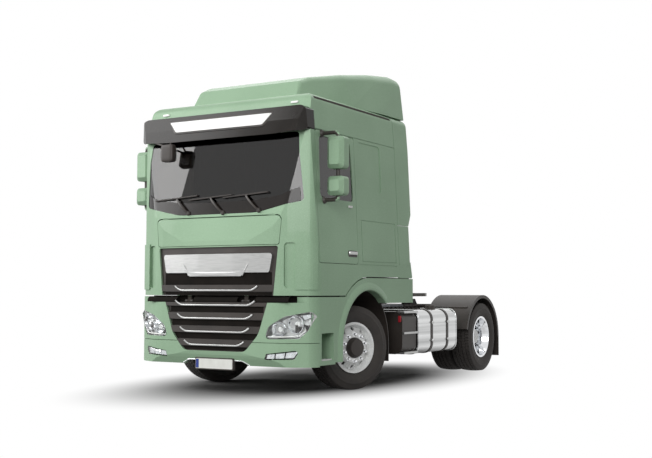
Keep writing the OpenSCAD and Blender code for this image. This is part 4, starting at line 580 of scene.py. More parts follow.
# Headlamps and fog lamps: tub, bowls, light bar and clear cover take the place of the plain lenses
coverShares = (0, 0.25, 0.5, 0.75, 0.9, 1)
lampLook = {
    "corners": [(0.690, 0.640), (0.735, 0.778), (0.930, 0.894), (1.198, 0.949), (1.233, 0.894), (1.165, 0.7335),
                (1.084, 0.649)], "round": (0.03, 0.035, 0.03, 0.02, 0.02, 0.02, 0.025), "grow": 1.012,
    "tub": [(0, -0.098), (0.5, -0.098), (0.9, -0.098), (1, -0.085), (1, -0.007), (0.965, -0.007), (0.945, -0.045),
            (0.85, -0.075), (0.5, -0.085), (0, -0.085)],
    "bowls": [(0.85, 0.752, 0.08), (1.035, 0.806, 0.094)], "bowlBack": 0.078,
    "bowl": [(0, -0.03), (0.5, -0.022), (0.85, 0.01), (1, 0.05), (1.06, 0.05), (1.06, 0.035), (0.9, -0.012),
             (0.5, -0.04), (0, -0.046)],
    "dome": [(0, -0.03), (0.4, -0.028), (0.42, 0.0), (0.33, 0.018), (0, 0.026)],
    "bar": [(0.725, 0.668), (0.9, 0.668), (1.07, 0.676), (1.14, 0.74)], "barBack": 0.02,
    "barSection": (0.014, 0.018, 0.5),
    "corner": [(1.12, 0.85), (1.19, 0.88), (1.185, 0.925), (1.09, 0.905)], "cornerRound": 0.012,
    "cornerPlate": (0.02, 0.02, 0.85, 0.045),
    "fog": [(0.685, 0.409), (1.033, 0.4225), (1.096, 0.526), (0.710, 0.478)], "fogRound": (0.012, 0.02, 0.02, 0.015),
    "fogDeep": 0.75, "fogCells": [[(0.70, 0.419), (0.80, 0.423), (0.807, 0.482), (0.717, 0.472)],
                                  [(0.812, 0.424), (0.915, 0.428), (0.927, 0.496), (0.82, 0.484)],
                                  [(0.928, 0.43), (1.028, 0.434), (1.075, 0.514), (0.94, 0.498)]],
    "cellRound": 0.008, "cellPlate": (0.012, 0.01, 0.8, 0.03),
    "cover": [(share, -0.008) for share in coverShares] + [(share, -0.004) for share in coverShares[::-1]]}


# Outlines mirrored by side and laid on the mask; bowls and domes are profiles turned on an axis that points ahead
def lampPieces(side, look):
    flip = np.array([side, 1])
    loop = grown(smoothLoop(look["corners"], look["round"]) * flip, look["grow"])
    fog = grown(smoothLoop(look["fog"], look["fogRound"]) * flip, look["grow"])
    fogTub = [(share, lift * look["fogDeep"]) for share, lift in look["tub"]]
    seats = [(maskSkin(np.array(side * x), np.array(z)) + (0, look["bowlBack"], 0), (radius, 1))
             for x, z, radius in look["bowls"]]
    bowls = [turned(np.array(look["bowl"]) * scale, seat, front, 48) for seat, scale in seats]
    domes = [turned(np.array(look["dome"]) * scale, seat, front, 32) for seat, scale in seats]
    t, knots, bar = np.linspace(0, 1, 31), np.linspace(0, 1, len(look["bar"])), np.array(look["bar"])
    path = maskSkin(side * np.interp(t, knots, bar[:, 0]), np.interp(t, knots, bar[:, 1])) + (0, look["barBack"], 0)
    corner = drape(smoothLoop(look["corner"], look["cornerRound"]) * flip, maskSkin, front, slab(*look["cornerPlate"]))
    cells = [drape(smoothLoop(cell, look["cellRound"]) * flip, maskSkin, front, slab(*look["cellPlate"]))
             for cell in look["fogCells"]]
    return [("lampTub", [drape(loop, maskSkin, front, look["tub"])], brushedAluminium, "lamp_glass"),
            ("fogTub", [drape(fog, maskSkin, front, fogTub)], blackPlastic, "black_plastic"),
            ("lampBowls", bowls + cells, chromePlate, "lamp_glass"), ("lampDomes", domes, opalAcrylic, "lamp_glass"),
            ("lampBar", [swept(path, softBox(*look["barSection"]), front)], opalAcrylic, "lamp_glass"),
            ("lampCorner", [corner], chromePlate, "lamp_glass"),
            ("lampCovers", [drape(edge, maskSkin, front, look["cover"]) for edge in (loop, fog)], lampLens,
             "lamp_glass")]


for side, word in sides:
    for name, grids, finish, slot in lampPieces(side, lampLook):
        cover = addPiece(name + word, grids, finish, "chassis")
    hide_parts("front_lamps")  # the last one made is the clear cover

# lip over the gap between the mask and the cab: a near-black arc round the tilt axis that stands for the shade in the
# gap, painted shade, open at the two tilt eyes
lipLook = {"axis": (-2.898, 1.06), "radius": (0.044, 0.05), "from": 192, "to": 100,
           "spans": [(-1.0, -0.56), (-0.31, 0.31), (0.56, 1.0)]}
lipTurn = np.radians(np.linspace(lipLook["from"], lipLook["to"], 15))
lipLoop = np.vstack([np.stack([radius * np.cos(turn), radius * np.sin(turn)], axis=-1)
                     for radius, turn in zip(lipLook["radius"], (lipTurn, lipTurn[::-1]))]) + lipLook["axis"]
addPiece("gapShadowLip", [capped(np.stack([np.column_stack([np.full(len(lipLoop), x), lipLoop])
                                     for x in np.linspace(first, last, 9)])) for first, last in lipLook["spans"]],
         paintedShadeBlack, "chassis")

# near-black screen behind that gap, painted shade: an upright strip along the mask's plan line
gapShadowScreenLook = {"half": 1.1, "back": 0.13, "z": (0.99, 1.121), "thick": 0.008, "soft": 0.2}
screenX = np.linspace(-gapShadowScreenLook["half"], gapShadowScreenLook["half"], 61)
low, high = gapShadowScreenLook["z"]
screenPath = maskSkin(screenX, np.full_like(screenX, (low + high) / 2)) + (0, gapShadowScreenLook["back"], 0)
addPiece("gapShadowScreen", [swept(screenPath, softBox(gapShadowScreenLook["thick"], high - low, gapShadowScreenLook["soft"]))], paintedShadeBlack,
         "chassis")

# blank number plate with its holder and strip: middle, size, thickness, finish and slot of each
plateLook = {
    "plateHolder": ((0, 0.345), (0.55, 0.138, 0.012), (0.004, 0.03, 0.985), blackPlastic, "black_plastic"),
    "blankPlate": ((0, 0.345), (0.52, 0.112, 0.012), (0.008, 0, 0.99), whiteSheeting, "badge_silver"),
    "plateStrip": ((-0.235, 0.345), (0.042, 0.102, 0.006), (0.0095, 0, 0.97), blueSheeting, "badge_silver")}
plateFace = -2.952
for name, (middle, size, plate, finish, slot) in plateLook.items():
    addPiece(name, [drape(oblong(middle, *size), flatSkin(plateFace), front, slab(*plate))], finish, "chassis")

# bright edge over the bumper's notch: a section carried along its bent line
notchLook = {"runs": [(-0.475, -0.385, 8), (-0.37, 0.37, 31), (0.385, 0.475, 8)], "bendX": (0.38, 0.48),
             "bendZ": (0.387, 0.338), "section": (0.016, 0.012, 0.6)}
notchX = np.concatenate([np.linspace(*run) for run in notchLook["runs"]])
notchZ = np.interp(np.abs(notchX), notchLook["bendX"], notchLook["bendZ"])
addPiece("notchTrim", [swept(maskSkin(notchX, notchZ), softBox(*notchLook["section"]))], chromePlate, "chassis")
print("lamps and plate made")

# Pieces on the doors: recess and lamp laid on the side, a grip bowed out by a sixth power, an arm with round bends

doorLook = {"handle": (-1.93, 1.612), "recess": (0.215, 0.075, 0.025), "recessLift": 0.003, "gripHalf": 0.085,
            "gripOut": 0.03, "gripUp": 0.008, "gripSection": (0.016, 0.036, 0.5), "lamp": (-1.95, 2.165),
            "lampSize": (0.085, 0.03, 0.012), "lampPlate": (0.016, 0.01, 0.85), "mirrorX": 1.395,
            "mirrorY": (-2.533, -2.478), "glassZ": [(2.5475, 2.9075), (2.2475, 2.4575)], "glassWidth": 0.19,
            "glassEdge": 0.02, "glassRound": 0.035, "glassLift": 0.004, "armZ": (2.201, 2.961), "arm": 0.0225,
            "bend": 0.05, "straight": 0.08, "footSunk": 0.004,
            "boot": [(0, -0.002), (0.045, -0.002), (0.042, 0.012), (0.027, 0.03), (0, 0.03)]}
for side, word in sides:
    skin, out, body = sideSkin(side), (side, 0, 0), word.lower() + "_door"
    addPiece("handleRecess" + word, [drape(oblong(doorLook["handle"], *doorLook["recess"]), skin, out,
                                           slab(doorLook["recessLift"]))], blackPlastic, body)
    t = np.linspace(-1, 1, 31)
    y, z = doorLook["handle"]
    grip = skin(y + doorLook["gripHalf"] * t, np.full_like(t, z + doorLook["gripUp"]))
    grip[:, 0] += side * doorLook["gripOut"] * (1 - t ** 6)
    addPiece("handleGrip" + word, [swept(grip, softBox(*doorLook["gripSection"]))], brushedAluminium, body)
    addPiece("sideLamp" + word, [drape(oblong(doorLook["lamp"], *doorLook["lampSize"]), skin, out,
                                       slab(*doorLook["lampPlate"]))], opalAcrylic, body)
    x, y, glassY = side * doorLook["mirrorX"], *doorLook["mirrorY"]
    glasses = [drape(oblong((x, (low + high) / 2), doorLook["glassWidth"], high - low - doorLook["glassEdge"],
                            doorLook["glassRound"]), flatSkin(glassY), rearward, slab(doorLook["glassLift"]))
               for low, high in doorLook["glassZ"]]
    addPiece("mirrorGlass" + word, glasses, mirrorSilver, body)
    (low, high), bend, straight = doorLook["armZ"], doorLook["bend"], doorLook["straight"]
    feet = [(side * (halfWidth(z) - doorLook["footSunk"]), y, z) for z in (low, high)]
    turn = np.linspace(0, math.pi / 2, 9)[:, None]
    inner = x - side * bend
    lowTurn = np.array([inner, y, low + bend]) + bend * (np.sin(turn) * out - np.cos(turn) * upward)
    highTurn = np.array([inner, y, high - bend]) + bend * (np.cos(turn) * out + np.sin(turn) * upward)
    route = np.vstack([feet[:1], lowTurn, np.linspace((x, y, low + straight), (x, y, high - straight), 12), highTurn,
                       feet[1:]])
    boots = [turned(doorLook["boot"], foot, out, 28) for foot in feet]
    addPiece("mirrorArm" + word, [swept(route, ring(doorLook["arm"], 20), rearward)] + boots, blackPlastic, body)
print("door pieces made")

# foot of each side deflector, down to the wheel arch's skirt: a thin panel in line with the cab's side
footLook = {"corners": [(-0.735, 1.342), (-0.352, 1.342), (-0.405, 1.55), (-0.735, 1.55)],
            "round": (0.004, 0.03, 0.004, 0.004), "plate": (-0.003, 0.02, 0.99)}
for side, word in sides:
    loop = smoothLoop(footLook["corners"], footLook["round"])
    addPiece("deflectorFoot" + word, [drape(loop, sideSkin(side), (side, 0, 0), slab(*footLook["plate"]))], sagePaint,
             "cab")

# dark strip behind the gap between cab side and wheel arch skirt, a painted shadow in the gap: a thin strip along it,
# standing on the skirt
gapShadowLook = {"x": 1.19, "y": (-1.5, -0.36), "z": (1.29, 1.346), "thick": 0.008, "soft": 0.2}
gapShadowSection = softBox(gapShadowLook["thick"], gapShadowLook["z"][1] - gapShadowLook["z"][0], gapShadowLook["soft"])
for side, word in sides:
    ends = [(side * gapShadowLook["x"], y, np.mean(gapShadowLook["z"])) for y in gapShadowLook["y"]]
    addPiece("gapShadowStrip" + word, [swept(np.linspace(*ends, 15), gapShadowSection)], bellowsRubber, "chassis")

# Wheels: treaded tyres take the place of the plain ones; nuts and caps sit on the discs

tyreLook = {"pitches": 72, "columns": 5, "shoulderCut": 0.010, "middleCut": 0.005, "zigzag": 0.0025,
            "grooves": (0.0276, 0.0856), "grooveHalf": 0.006, "grooveDepth": 0.014, "grooveBevel": 0.0015,
            "ribStep": 0.020, "firstRib": (0, 0.010), "shoulder": (0.116, 0.127), "radius": 0.505, "drop": 0.010,
            "halfTread": 0.138, "sharp": 30,
            "side": [(0.287, 0.112), (0.299, 0.1185), (0.310, 0.121), (0.325, 0.131), (0.345, 0.1425), (0.37, 0.152),
                     (0.3955, 0.157), (0.418, 0.1568), (0.421, 0.158), (0.426, 0.158), (0.429, 0.1555), (0.45, 0.151),
                     (0.47, 0.1455), (0.483, 0.1425), (0.49, 0.1405), (0.4945, 0.137)]}


# Half section of (radius, place across), mirrored and turned round the axle: the tread's radius drops by the square
# of the place across, ribs are notched at each pitch and grooves zigzag; a row is place, groove share, zigzag share
def treadTyre(centre, axis, look):
    half, bevel, columns = look["grooveHalf"], look["grooveBevel"], look["columns"]
    tread = [(place, 0, 0) for place in look["firstRib"]]
    for groove in look["grooves"]:
        tread += [(groove - half, 0, 1), (groove - half + bevel, 1, 1), (groove + half - bevel, 1, 1),
                  (groove + half, 0, 1), (groove + look["ribStep"], 0, 0)]
    tread = np.array(tread + [(place, 0, 0) for place in look["shoulder"]])
    depth = look["radius"] - look["drop"] * (tread[:, 0] / look["halfTread"]) ** 2 - tread[:, 1] * look["grooveDepth"]
    section = np.vstack([np.column_stack([look["side"], np.zeros((len(look["side"]), 2))]),
                         np.column_stack([depth, tread[:, 0], tread[:, 2], 1 - tread[:, 1]])[::-1]])
    whole = np.vstack([section, (section * (1, -1, -1, 1))[-2::-1], section[:1]])
    column = np.arange(look["pitches"] * columns)
    wave = np.abs(column % (2 * columns) - columns) / columns - 0.5
    shoulder = (np.abs(whole[:, 1:2]) > look["grooves"][1]) * whole[:, 3:]
    cut = np.where(column % columns == 0, look["shoulderCut"], 0) * shoulder
    cut = cut + np.where(column % columns == 2, look["middleCut"], 0) * (whole[:, 3:] - shoulder)
    radius = (whole[:, :1] - cut)[..., None]
    across = (whole[:, 1:2] + 2 * look["zigzag"] * wave * np.abs(whole[:, 2:3]))[..., None]
    axis = unit(axis)
    side = unit(np.cross(axis, upward))
    angle = (fullTurn * column / len(column))[None, :, None]
    return np.asarray(centre) + radius * (np.cos(angle) * side + np.sin(angle) * np.cross(axis, side)) + across * axis


def middleOf(name):  # middle of a CAD node's box
    low, high = boxOf(name)
    return (low + high) / 2


wheelLook = {"steer": math.radians(22), "twin": 0.171, "nutRing": 0.160, "nuts": 10, "nutStart": 0.31,
             "frontFace": 0.128, "rearFace": 0.024, "frontCap": 0.128, "rearCap": 0.15, "valveFace": 0.098,
             "valveRing": 0.253, "valveStart": 1.2,
             "nut": [(0, -0.004), (0.023, -0.004), (0.023, 0.005), (0.0175, 0.007), (0.0175, 0.026), (0.013, 0.034),
                     (0, 0.036)],
             "cap": [(0, -0.004), (0.122, -0.004), (0.122, 0.014), (0.114, 0.022), (0.108, 0.05), (0.096, 0.066),
                     (0.05, 0.071), (0, 0.072)],
             "valve": [(0, 0), (0.006, 0), (0.006, 0.03), (0.0075, 0.031), (0.0075, 0.045), (0, 0.046)]}
aheadTurn = np.array([math.cos(wheelLook["steer"]), -math.sin(wheelLook["steer"]), 0])


def nutGrids(hub, axis, face, look):  # a turned profile at each place on the nuts' circle
    seats = spots(hub + face * axis, axis, look["nutRing"], look["nuts"], look["nutStart"])
    return [turned(look["nut"], seat, axis, 12) for seat in seats]


for side, word in sides:
    name = word.lower()
    hub, axis, body = middleOf("tyre_front_" + name), side * aheadTurn, name + "_front_wheel"
    tyre = addPiece("tyreFront" + word, [treadTyre(hub, axis, tyreLook)], tyreRubber, body,
                    tyreLook["sharp"])
    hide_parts("tyre_front_" + name)
    addPiece("nutsFront" + word, nutGrids(hub, axis, wheelLook["frontFace"], wheelLook), chromePlate, body)
    addPiece("hubCapFront" + word, [turned(wheelLook["cap"], hub + wheelLook["frontCap"] * axis, axis, 48)],
             blackPlastic, body)
    valveSeat = spots(hub + wheelLook["valveFace"] * axis, axis, wheelLook["valveRing"], 1, wheelLook["valveStart"])[0]
    addPiece("valveFront" + word, [turned(wheelLook["valve"], valveSeat, axis, 12)], chromePlate, body)
    hub, axis, body = middleOf("tyres_rear_" + name), side * np.array([1.0, 0, 0]), name + "_rear_wheels"
    twins = addPiece("tyresRear" + word, [treadTyre(hub + shift * axis, axis, tyreLook)
                                          for shift in (-wheelLook["twin"], wheelLook["twin"])], tyreRubber, body,
                     tyreLook["sharp"])
    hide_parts("tyres_rear_" + name)
    addPiece("nutsRear" + word, nutGrids(hub, axis, wheelLook["rearFace"], wheelLook), chromePlate, body)
    addPiece("hubCapRear" + word, [turned(wheelLook["cap"], hub + wheelLook["rearCap"] * axis, axis, 48)], silverSteel,
             body)
print("wheels made")

# Pieces on the chassis

# fuel tank: weld seams round its outline, filler cap, and bolts on the straps
tankLook = {"corner": 0.13, "seamIn": 0.022, "seamSection": (0.012, 0.018, 0.7), "capX": -0.19, "capShare": 0.62,
            "cap": [(0, -0.01), (0.075, -0.01), (0.075, 0.012), (0.066, 0.016), (0.066, 0.05), (0.058, 0.058),
                    (0, 0.06)], "strapShares": (0.34, 0.74), "strapOut": 0.012, "boltZ": (0.52, 0.76)}
boltProfile = [(0, -0.003), (0.021, -0.003), (0.021, 0.004), (0.0135, 0.0045), (0.0135, 0.017), (0.010, 0.020),
               (0, 0.021)]
tankLow, tankHigh = boxOf("fuel_tank")
tankMiddle, tankHalf = (tankLow + tankHigh) / 2, (tankHigh - tankLow) / 2
tankLoop = smoothLoop(boxCorners * tankHalf[[0, 2]], tankLook["corner"], 12) + tankMiddle[[0, 2]]
tankLoop = np.vstack([tankLoop, tankLoop[:1]])
seams = [np.stack([tankLoop[:, 0], np.full(len(tankLoop), y), tankLoop[:, 1]], axis=-1)
         for y in (tankLow[1] + tankLook["seamIn"], tankHigh[1] - tankLook["seamIn"])]
addPiece("tankSeams", [swept(path, softBox(*tankLook["seamSection"]), rearward) for path in seams], aluminiumPaintedReflections,
         "chassis")
capY, *strapY = (tankLow[1] + share * (tankHigh[1] - tankLow[1])
                 for share in (tankLook["capShare"], *tankLook["strapShares"]))
addPiece("tankCap", [turned(tankLook["cap"], (tankHigh[0] + tankLook["capX"], capY, tankHigh[2]), upward, 40)],
         blackPlastic, "chassis")
addPiece("strapBolts", [turned(boltProfile, (tankHigh[0] + tankLook["strapOut"], y, z), leftward, 6)
                        for y in strapY for z in tankLook["boltZ"]], silverSteel, "chassis")

# red pull handle ahead of the black tank
tagLook = {"half": (0.02, 0.012, 0.042), "x": 1.165, "z": 0.82, "ahead": 0.009, "soft": 0.4}
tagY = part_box("urea_tank")[0][1] - tagLook["ahead"]
addPiece("pullHandle", [softBlock((tagLook["x"], tagY, tagLook["z"]), tagLook["half"], tagLook["soft"], 17, 32)],
         redPlastic, "chassis")

# tread plates in the entry steps: a plate with raised ribs along it
treadLook = {"x": (1.02, 1.238), "y": (-2.628, -2.378), "z": 0.400, "lift": 0.004, "thickHalf": 0.005, "soft": 0.15,
             "ribs": 6, "ribIn": (0.02, 0.016), "ribShort": 0.012, "ribLift": 0.011, "ribSection": (0.014, 0.01, 0.6)}
nearY, farY = treadLook["y"]
for side, word in sides:
    x0, x1 = side * treadLook["x"][0], side * treadLook["x"][1]
    plate = softBlock(((x0 + x1) / 2, (nearY + farY) / 2, treadLook["z"] + treadLook["lift"]),
                      (abs(x1 - x0) / 2, (farY - nearY) / 2, treadLook["thickHalf"]), treadLook["soft"], 11, 32)
    ribX = np.linspace(x0 + side * treadLook["ribIn"][0], x1 - side * treadLook["ribIn"][1], treadLook["ribs"])
    ribZ = treadLook["z"] + treadLook["ribLift"]
    ribs = [swept(np.linspace((x, nearY + treadLook["ribShort"], ribZ), (x, farY - treadLook["ribShort"], ribZ), 5),
                  softBox(*treadLook["ribSection"])) for x in ribX]
    addPiece("stepTread" + word, [plate] + ribs, brushedAluminium, "chassis")

# bolts along the side rails
railLook = {"x": 0.4305, "y": (0.25, 2.75), "pitch": 0.125, "z": (0.80, 0.94)}
railY = np.arange(*railLook["y"], railLook["pitch"])
for side, word in sides:
    addPiece("railBolts" + word, [turned(boltProfile, (side * railLook["x"], y, z), (side, 0, 0), 6)
                                  for y in railY for z in railLook["z"]], chassisPaint, "chassis")

# coupling: wear ring of the closed jaw, and release handle
jawLook = {"y": 1.45, "ring": (0.036, 0.062), "sunk": 0.03, "bevel": 0.004, "lift": 0.003, "handleRadius": 0.009,
           "handle": [(0.16, 1.30, 1.112), (0.3, 1.27, 1.112), (0.46, 1.235, 1.11), (0.5, 1.2, 1.11)]}
(inner, outer), sunk, bevel, lift = (jawLook[key] for key in ("ring", "sunk", "bevel", "lift"))
jawProfile = [(inner, -sunk), (outer, -sunk), (outer, 0.0), (outer - bevel, lift), (inner + bevel, lift), (inner, 0.0),
              (inner, -sunk)]
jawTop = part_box("fifth_wheel_plate")[1][2]
addPiece("jawRing", [turned(jawProfile, (0, jawLook["y"], jawTop), upward, 40)], silverSteel, "coupling")
addPiece("releaseHandle", [swept(jawLook["handle"], ring(jawLook["handleRadius"]))], chassisPaint, "coupling")

# tail lamps: three lens cells on each housing, each from one share of its length to another
tailLook = {"x": (0.53, 0.84), "cells": [(0.0, 0.42, "Red", redLens), (0.44, 0.72, "Amber", amberLens),
            (0.74, 1.0, "Clear", lampLens)], "inset": 0.012, "round": 0.016, "plate": (0.009, 0.003, 0.9)}
tailLow, tailHigh = boxOf("tail_lamps")
tailLength = tailLook["x"][1] - tailLook["x"][0]
for side, word in sides:
    for first, last, colour, finish in tailLook["cells"]:
        x = side * (tailLook["x"][0] + tailLength * (first + last) / 2)
        loop = oblong((x, (tailLow[2] + tailHigh[2]) / 2), tailLength * (last - first),
                      tailHigh[2] - tailLow[2] - 2 * tailLook["inset"], tailLook["round"])
        addPiece("tail" + colour + word, [drape(loop, flatSkin(tailHigh[1]), rearward, slab(*tailLook["plate"]))],
                 finish, "chassis")
print("chassis pieces made")

# Inside the cab: padded seats and mattress take the place of the plain soft solids

seatLook = {
    "x": 0.54, "front": -2.295, "deep": 0.5, "floor": 1.40, "stand": 0.30, "tilt": math.radians(10), "padIn": 0.005,
    "standSection": (0.34, 0.36, 0.3, 40), "folds": 6, "foldDepth": 0.035,
    "pad": {"half": (0.248, 0.245, 0.066), "soft": 0.32, "crown": 0.03, "draw": 0.025, "seam": 0.013, "sunk": 0.014,
            "along": (-0.15, 0.15), "across": (-0.12, 0.02, 0.16)},
    "back": {"half": (0.247, 0.366, 0.066), "up": 0.372, "ahead": 0.08, "soft": 0.3, "crown": 0.028, "draw": 0.03,
             "seam": 0.013, "sunk": 0.014, "along": (-0.15, 0.15), "across": (-0.2, -0.05, 0.1, 0.25)},
    "rest": {"half": (0.133, 0.088, 0.052), "up": 0.842, "ahead": 0.075, "soft": 0.4, "crown": 0.02, "draw": 0.02,
             "seam": 0.01, "sunk": 0.006, "along": (), "across": (0.0,)}}
tiltSine, tiltCosine = math.sin(seatLook["tilt"]), math.cos(seatLook["tilt"])
leanBack = np.array([(1, 0, 0), (0, tiltSine, tiltCosine), (0, -tiltCosine, tiltSine)])
seatMiddle, padZ = seatLook["front"] + seatLook["deep"] / 2, seatLook["floor"] + seatLook["stand"]
stands = []
for side, word in sides:
    x = side * seatLook["x"]
    hinge = np.array([x, seatLook["front"] + seatLook["deep"], padZ])
    padMiddle = (x, seatMiddle + seatLook["padIn"], padZ + seatLook["pad"]["half"][2])
    cushions = [("seatPad", cushion(padMiddle, seatLook["pad"]["half"], seatLook["pad"]))]
    for name, look in (("seatBack", seatLook["back"]), ("headRest", seatLook["rest"])):
        middle = hinge + leanBack[1] * look["up"] - leanBack[2] * look["ahead"]
        cushions.append((name, cushion(middle, look["half"], look, leanBack)))
    for name, grid in cushions:
        soft = addPiece(name + word, [grid], seatCloth, "cab")
    rise = np.linspace(0, 1, 41)[:, None]  # sprung stand: bellows whose width swings by a cosine
    fold = (1 + seatLook["foldDepth"] * np.cos(rise * fullTurn * seatLook["folds"]))[..., None]
    loop = softBox(*seatLook["standSection"])[None] * fold
    height = np.broadcast_to((seatLook["stand"] * rise)[..., None], (*loop.shape[:2], 1))
    stands.append(capped(np.array([x, seatMiddle, seatLook["floor"]]) + np.concatenate([loop, height], axis=-1)))
standPiece = addPiece("seatStands", stands, bellowsRubber, "cab")
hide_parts("seats")

# bunk: a plain box with a sewn mattress on it
bunkLook = {"mattress": 0.15, "sink": 0.006, "boxIn": (0.004, 0.002), "boxSoft": 0.05, "edge": (0.03, 0.012),
            "soft": 0.12, "crown": 0.025, "draw": 0.008, "seam": 0.014, "sunk": 0.012,
            "along": (-0.78, -0.39, 0.0, 0.39, 0.78), "across": ()}
bunkLow, bunkHigh = boxOf("bunk")
bunkX, bunkY = ((bunkLow + bunkHigh) / 2)[:2]
halfX, halfY = ((bunkHigh - bunkLow) / 2)[:2]
boxTop, pad = bunkHigh[2] - bunkLook["mattress"], bunkLook["mattress"] / 2
bunkBox = softBlock((bunkX, bunkY, (bunkLow[2] + boxTop) / 2), (
    halfX - bunkLook["boxIn"][0], halfY - bunkLook["boxIn"][1], (boxTop - bunkLow[2]) / 2), bunkLook["boxSoft"], 25, 64)
bunkPiece = addPiece("bunkBox", [bunkBox], cabinPlastic, "cab")
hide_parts("bunk")
mattress = addPiece("bunkMattress", [cushion((bunkX, bunkY, bunkHigh[2] - pad - bunkLook["sink"]), (
    halfX - bunkLook["edge"][0], halfY - bunkLook["edge"][1], pad - bunkLook["sink"]), bunkLook)],
    bunkCloth, "cab")

# dashboard: hood over the dials, a screen beside it, air vents, and the steering wheel's boss
dashLook = {"hood": ((0.54, -2.62, 2.02), (0.25, 0.11, 0.05), 0.45),
            "screen": ((0.12, -2.50, 2.04), (0.14, 0.012, 0.075), 0.2),
            "ventX": (-0.85, -0.35, 0.28, 0.88), "ventZ": 1.90, "blades": (-0.036, -0.012, 0.012, 0.036),
            "bladeHalf": (0.075, 0.012, 0.007), "bladeSoft": 0.3, "bladeIn": 0.006, "boss": (0.54, -2.345, 2.047),
            "bossTilt": math.radians(35), "bossProfile": [(0, -0.05), (0.06, -0.045), (0.085, -0.012), (0.082, 0.01),
                                                          (0.06, 0.02), (0, 0.026)]}
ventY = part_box("dashboard")[1][1] - dashLook["bladeIn"]
vents = [softBlock((x, ventY, dashLook["ventZ"] + lift), dashLook["bladeHalf"], dashLook["bladeSoft"], 9, 24)
         for x in dashLook["ventX"] for lift in dashLook["blades"]]
addPiece("dialHood", [softBlock(*dashLook["hood"], 21, 40), softBlock(*dashLook["screen"], 17, 32)] + vents,
         cabinPlastic, "cab")
bossAxis = (0, math.sin(dashLook["bossTilt"]), math.cos(dashLook["bossTilt"]))
addPiece("wheelBoss", [turned(dashLook["bossProfile"], dashLook["boss"], bossAxis, 40)], cabinPlastic, "cab")
print("cab inside made")


# Camera, light and floor

photo = {"width": 652, "place": (7.308, -12.686, 1.175), "yaw": 0.539, "pitch": 0.059, "roll": 0.002,
         "focalPixels": 1053.1, "sensorMm": 36, "clipEnd": 500}
# the floor's grey inside the oval round the truck is painted shadow, fading to white outside it
studio = {"floorHalf": 60, "paintedShadowGrey": "#7c7c7b", "paintedShadowMiddle": (0.06, 0.13, 0), "paintedShadowScale": (0.5, 0.25, 1),
          "paintedShadowFade": (0.5, 1.12), "ambient": 0.2, "white": (1, 1, 1, 1), "lamps": {
              "keyLamp": {"place": (-15.9, -11.7, 9.5), "aim": (0, -1, 1.6), "size": 13, "power": 3150},
              "fillLamp": {"place": (6.5, -15.5, 6.5), "aim": (0, -2, 1.6), "size": 8, "power": 1350},
              "sideLamp": {"place": (13, 5, 6), "aim": (0, 1, 1.2), "size": 8, "power": 70},
              "topLamp": {"place": (-2, 6, 14), "aim": (0, 0, 0), "size": 15, "power": 900}}}


def addCamera(look):  # the photo's camera: turned by yaw and pitch, then rolled about its line of sight
    data = bpy.data.cameras.new("photoCamera")
    data.sensor_width = look["sensorMm"]
    data.lens = look["focalPixels"] / look["width"] * look["sensorMm"]
    data.clip_end = look["clipEnd"]
    camera = bpy.data.objects.new("photoCamera", data)
    bpy.context.scene.collection.objects.link(camera)
    ahead = Vector((-math.sin(look["yaw"]) * math.cos(look["pitch"]),
                    math.cos(look["yaw"]) * math.cos(look["pitch"]), math.sin(look["pitch"])))
    turn = ahead.to_track_quat("-Z", "Y").to_matrix() @ Matrix.Rotation(look["roll"], 3, "Z")
    camera.matrix_world = Matrix.Translation(look["place"]) @ turn.to_4x4()
    bpy.context.scene.camera = camera


def addLamps(look):  # square lamps, each turned to its aim
    for name, lamp in look["lamps"].items():
        data = bpy.data.lights.new(name, "AREA")
        data.size, data.energy = lamp["size"], lamp["power"]
        light = bpy.data.objects.new(name, data)
        bpy.context.scene.collection.objects.link(light)
        aim = Vector(lamp["aim"]) - Vector(lamp["place"])
        light.matrix_world = Matrix.Translation(lamp["place"]) @ aim.to_track_quat("-Z", "Y").to_matrix().to_4x4()


def seenRays(tree):  # 1 for camera, glossy and transmission rays, so that metal and glass show the backdrop too
    ray = addNode(tree, "ShaderNodeLightPath")
    seen = addNode(tree, "ShaderNodeMath", links={0: ray.outputs["Is Camera Ray"], 1: ray.outputs["Is Glossy Ray"]},
                   operation="MAXIMUM")
    return addNode(tree, "ShaderNodeMath", links={0: seen.outputs[0], 1: ray.outputs["Is Transmission Ray"]},
                   operation="MAXIMUM").outputs[0]


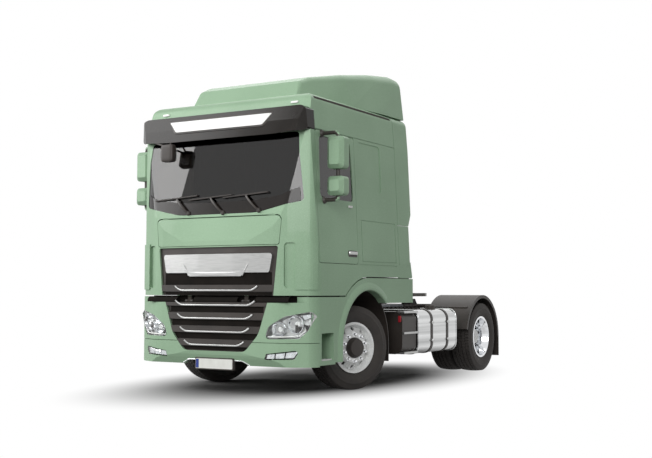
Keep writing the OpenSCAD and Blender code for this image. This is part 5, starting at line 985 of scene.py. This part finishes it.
def addBackdrop(look):  # white where it is seen, and an even dim light for the rest
    world = bpy.data.worlds.new("studioWorld")
    bpy.context.scene.world = world
    world.use_nodes = True
    tree = world.node_tree
    tree.nodes.clear()
    light = addNode(tree, "ShaderNodeBackground", {"Color": look["white"], "Strength": look["ambient"]})
    backdrop = addNode(tree, "ShaderNodeBackground", {"Color": look["white"], "Strength": 1.0})
    mix = addNode(tree, "ShaderNodeMixShader", links={0: seenRays(tree), 1: light.outputs[0], 2: backdrop.outputs[0]})
    addNode(tree, "ShaderNodeOutputWorld", links={"Surface": mix.outputs[0]})


def addFloor(look):  # matt grey floor that takes the shadow; its grey inside an oval round the truck is a painted shadow pool, fading to white outside the oval
    half = look["floorHalf"]
    mesh = bpy.data.meshes.new("studioFloor")
    mesh.from_pydata([(x * half, y * half, 0) for x, y in boxCorners.tolist()], [], [(0, 1, 2, 3)])
    floor = bpy.data.objects.new("studioFloor", mesh)
    bpy.context.scene.collection.objects.link(floor)
    material, tree, shader, coords = startMaterial("studioFloorPaintedShadowPool", {
        "Base Color": linear(look["paintedShadowGrey"]), "Roughness": 0.9, "Specular IOR Level": 0.0})
    # oval round the truck inside which the grey floor shows: the painted shadow pool
    oval = addNode(tree, "ShaderNodeMapping", {"Location": look["paintedShadowMiddle"], "Scale": look["paintedShadowScale"]},
                   {"Vector": coords})
    distance = addNode(tree, "ShaderNodeVectorMath", links={0: oval.outputs["Vector"]}, operation="LENGTH")
    fade = addNode(tree, "ShaderNodeMapRange", {"From Min": look["paintedShadowFade"][0], "From Max": look["paintedShadowFade"][1]},
                   {"Value": distance.outputs["Value"]}, interpolation_type="SMOOTHSTEP")
    far = addNode(tree, "ShaderNodeMath", links={0: fade.outputs["Result"], 1: seenRays(tree)}, operation="MULTIPLY")
    white = addNode(tree, "ShaderNodeEmission", {"Color": look["white"], "Strength": 1.0})
    blend = addNode(tree, "ShaderNodeMixShader", links={0: far.outputs[0], 1: shader.outputs[0], 2: white.outputs[0]})
    tree.links.new(blend.outputs[0], tree.nodes["Material Output"].inputs["Surface"])
    mesh.materials.append(material)


addCamera(photo)
addLamps(studio)
addBackdrop(studio)
addFloor(studio)
bpy.context.scene.view_settings.view_transform = "Standard"
print("camera and studio ready")
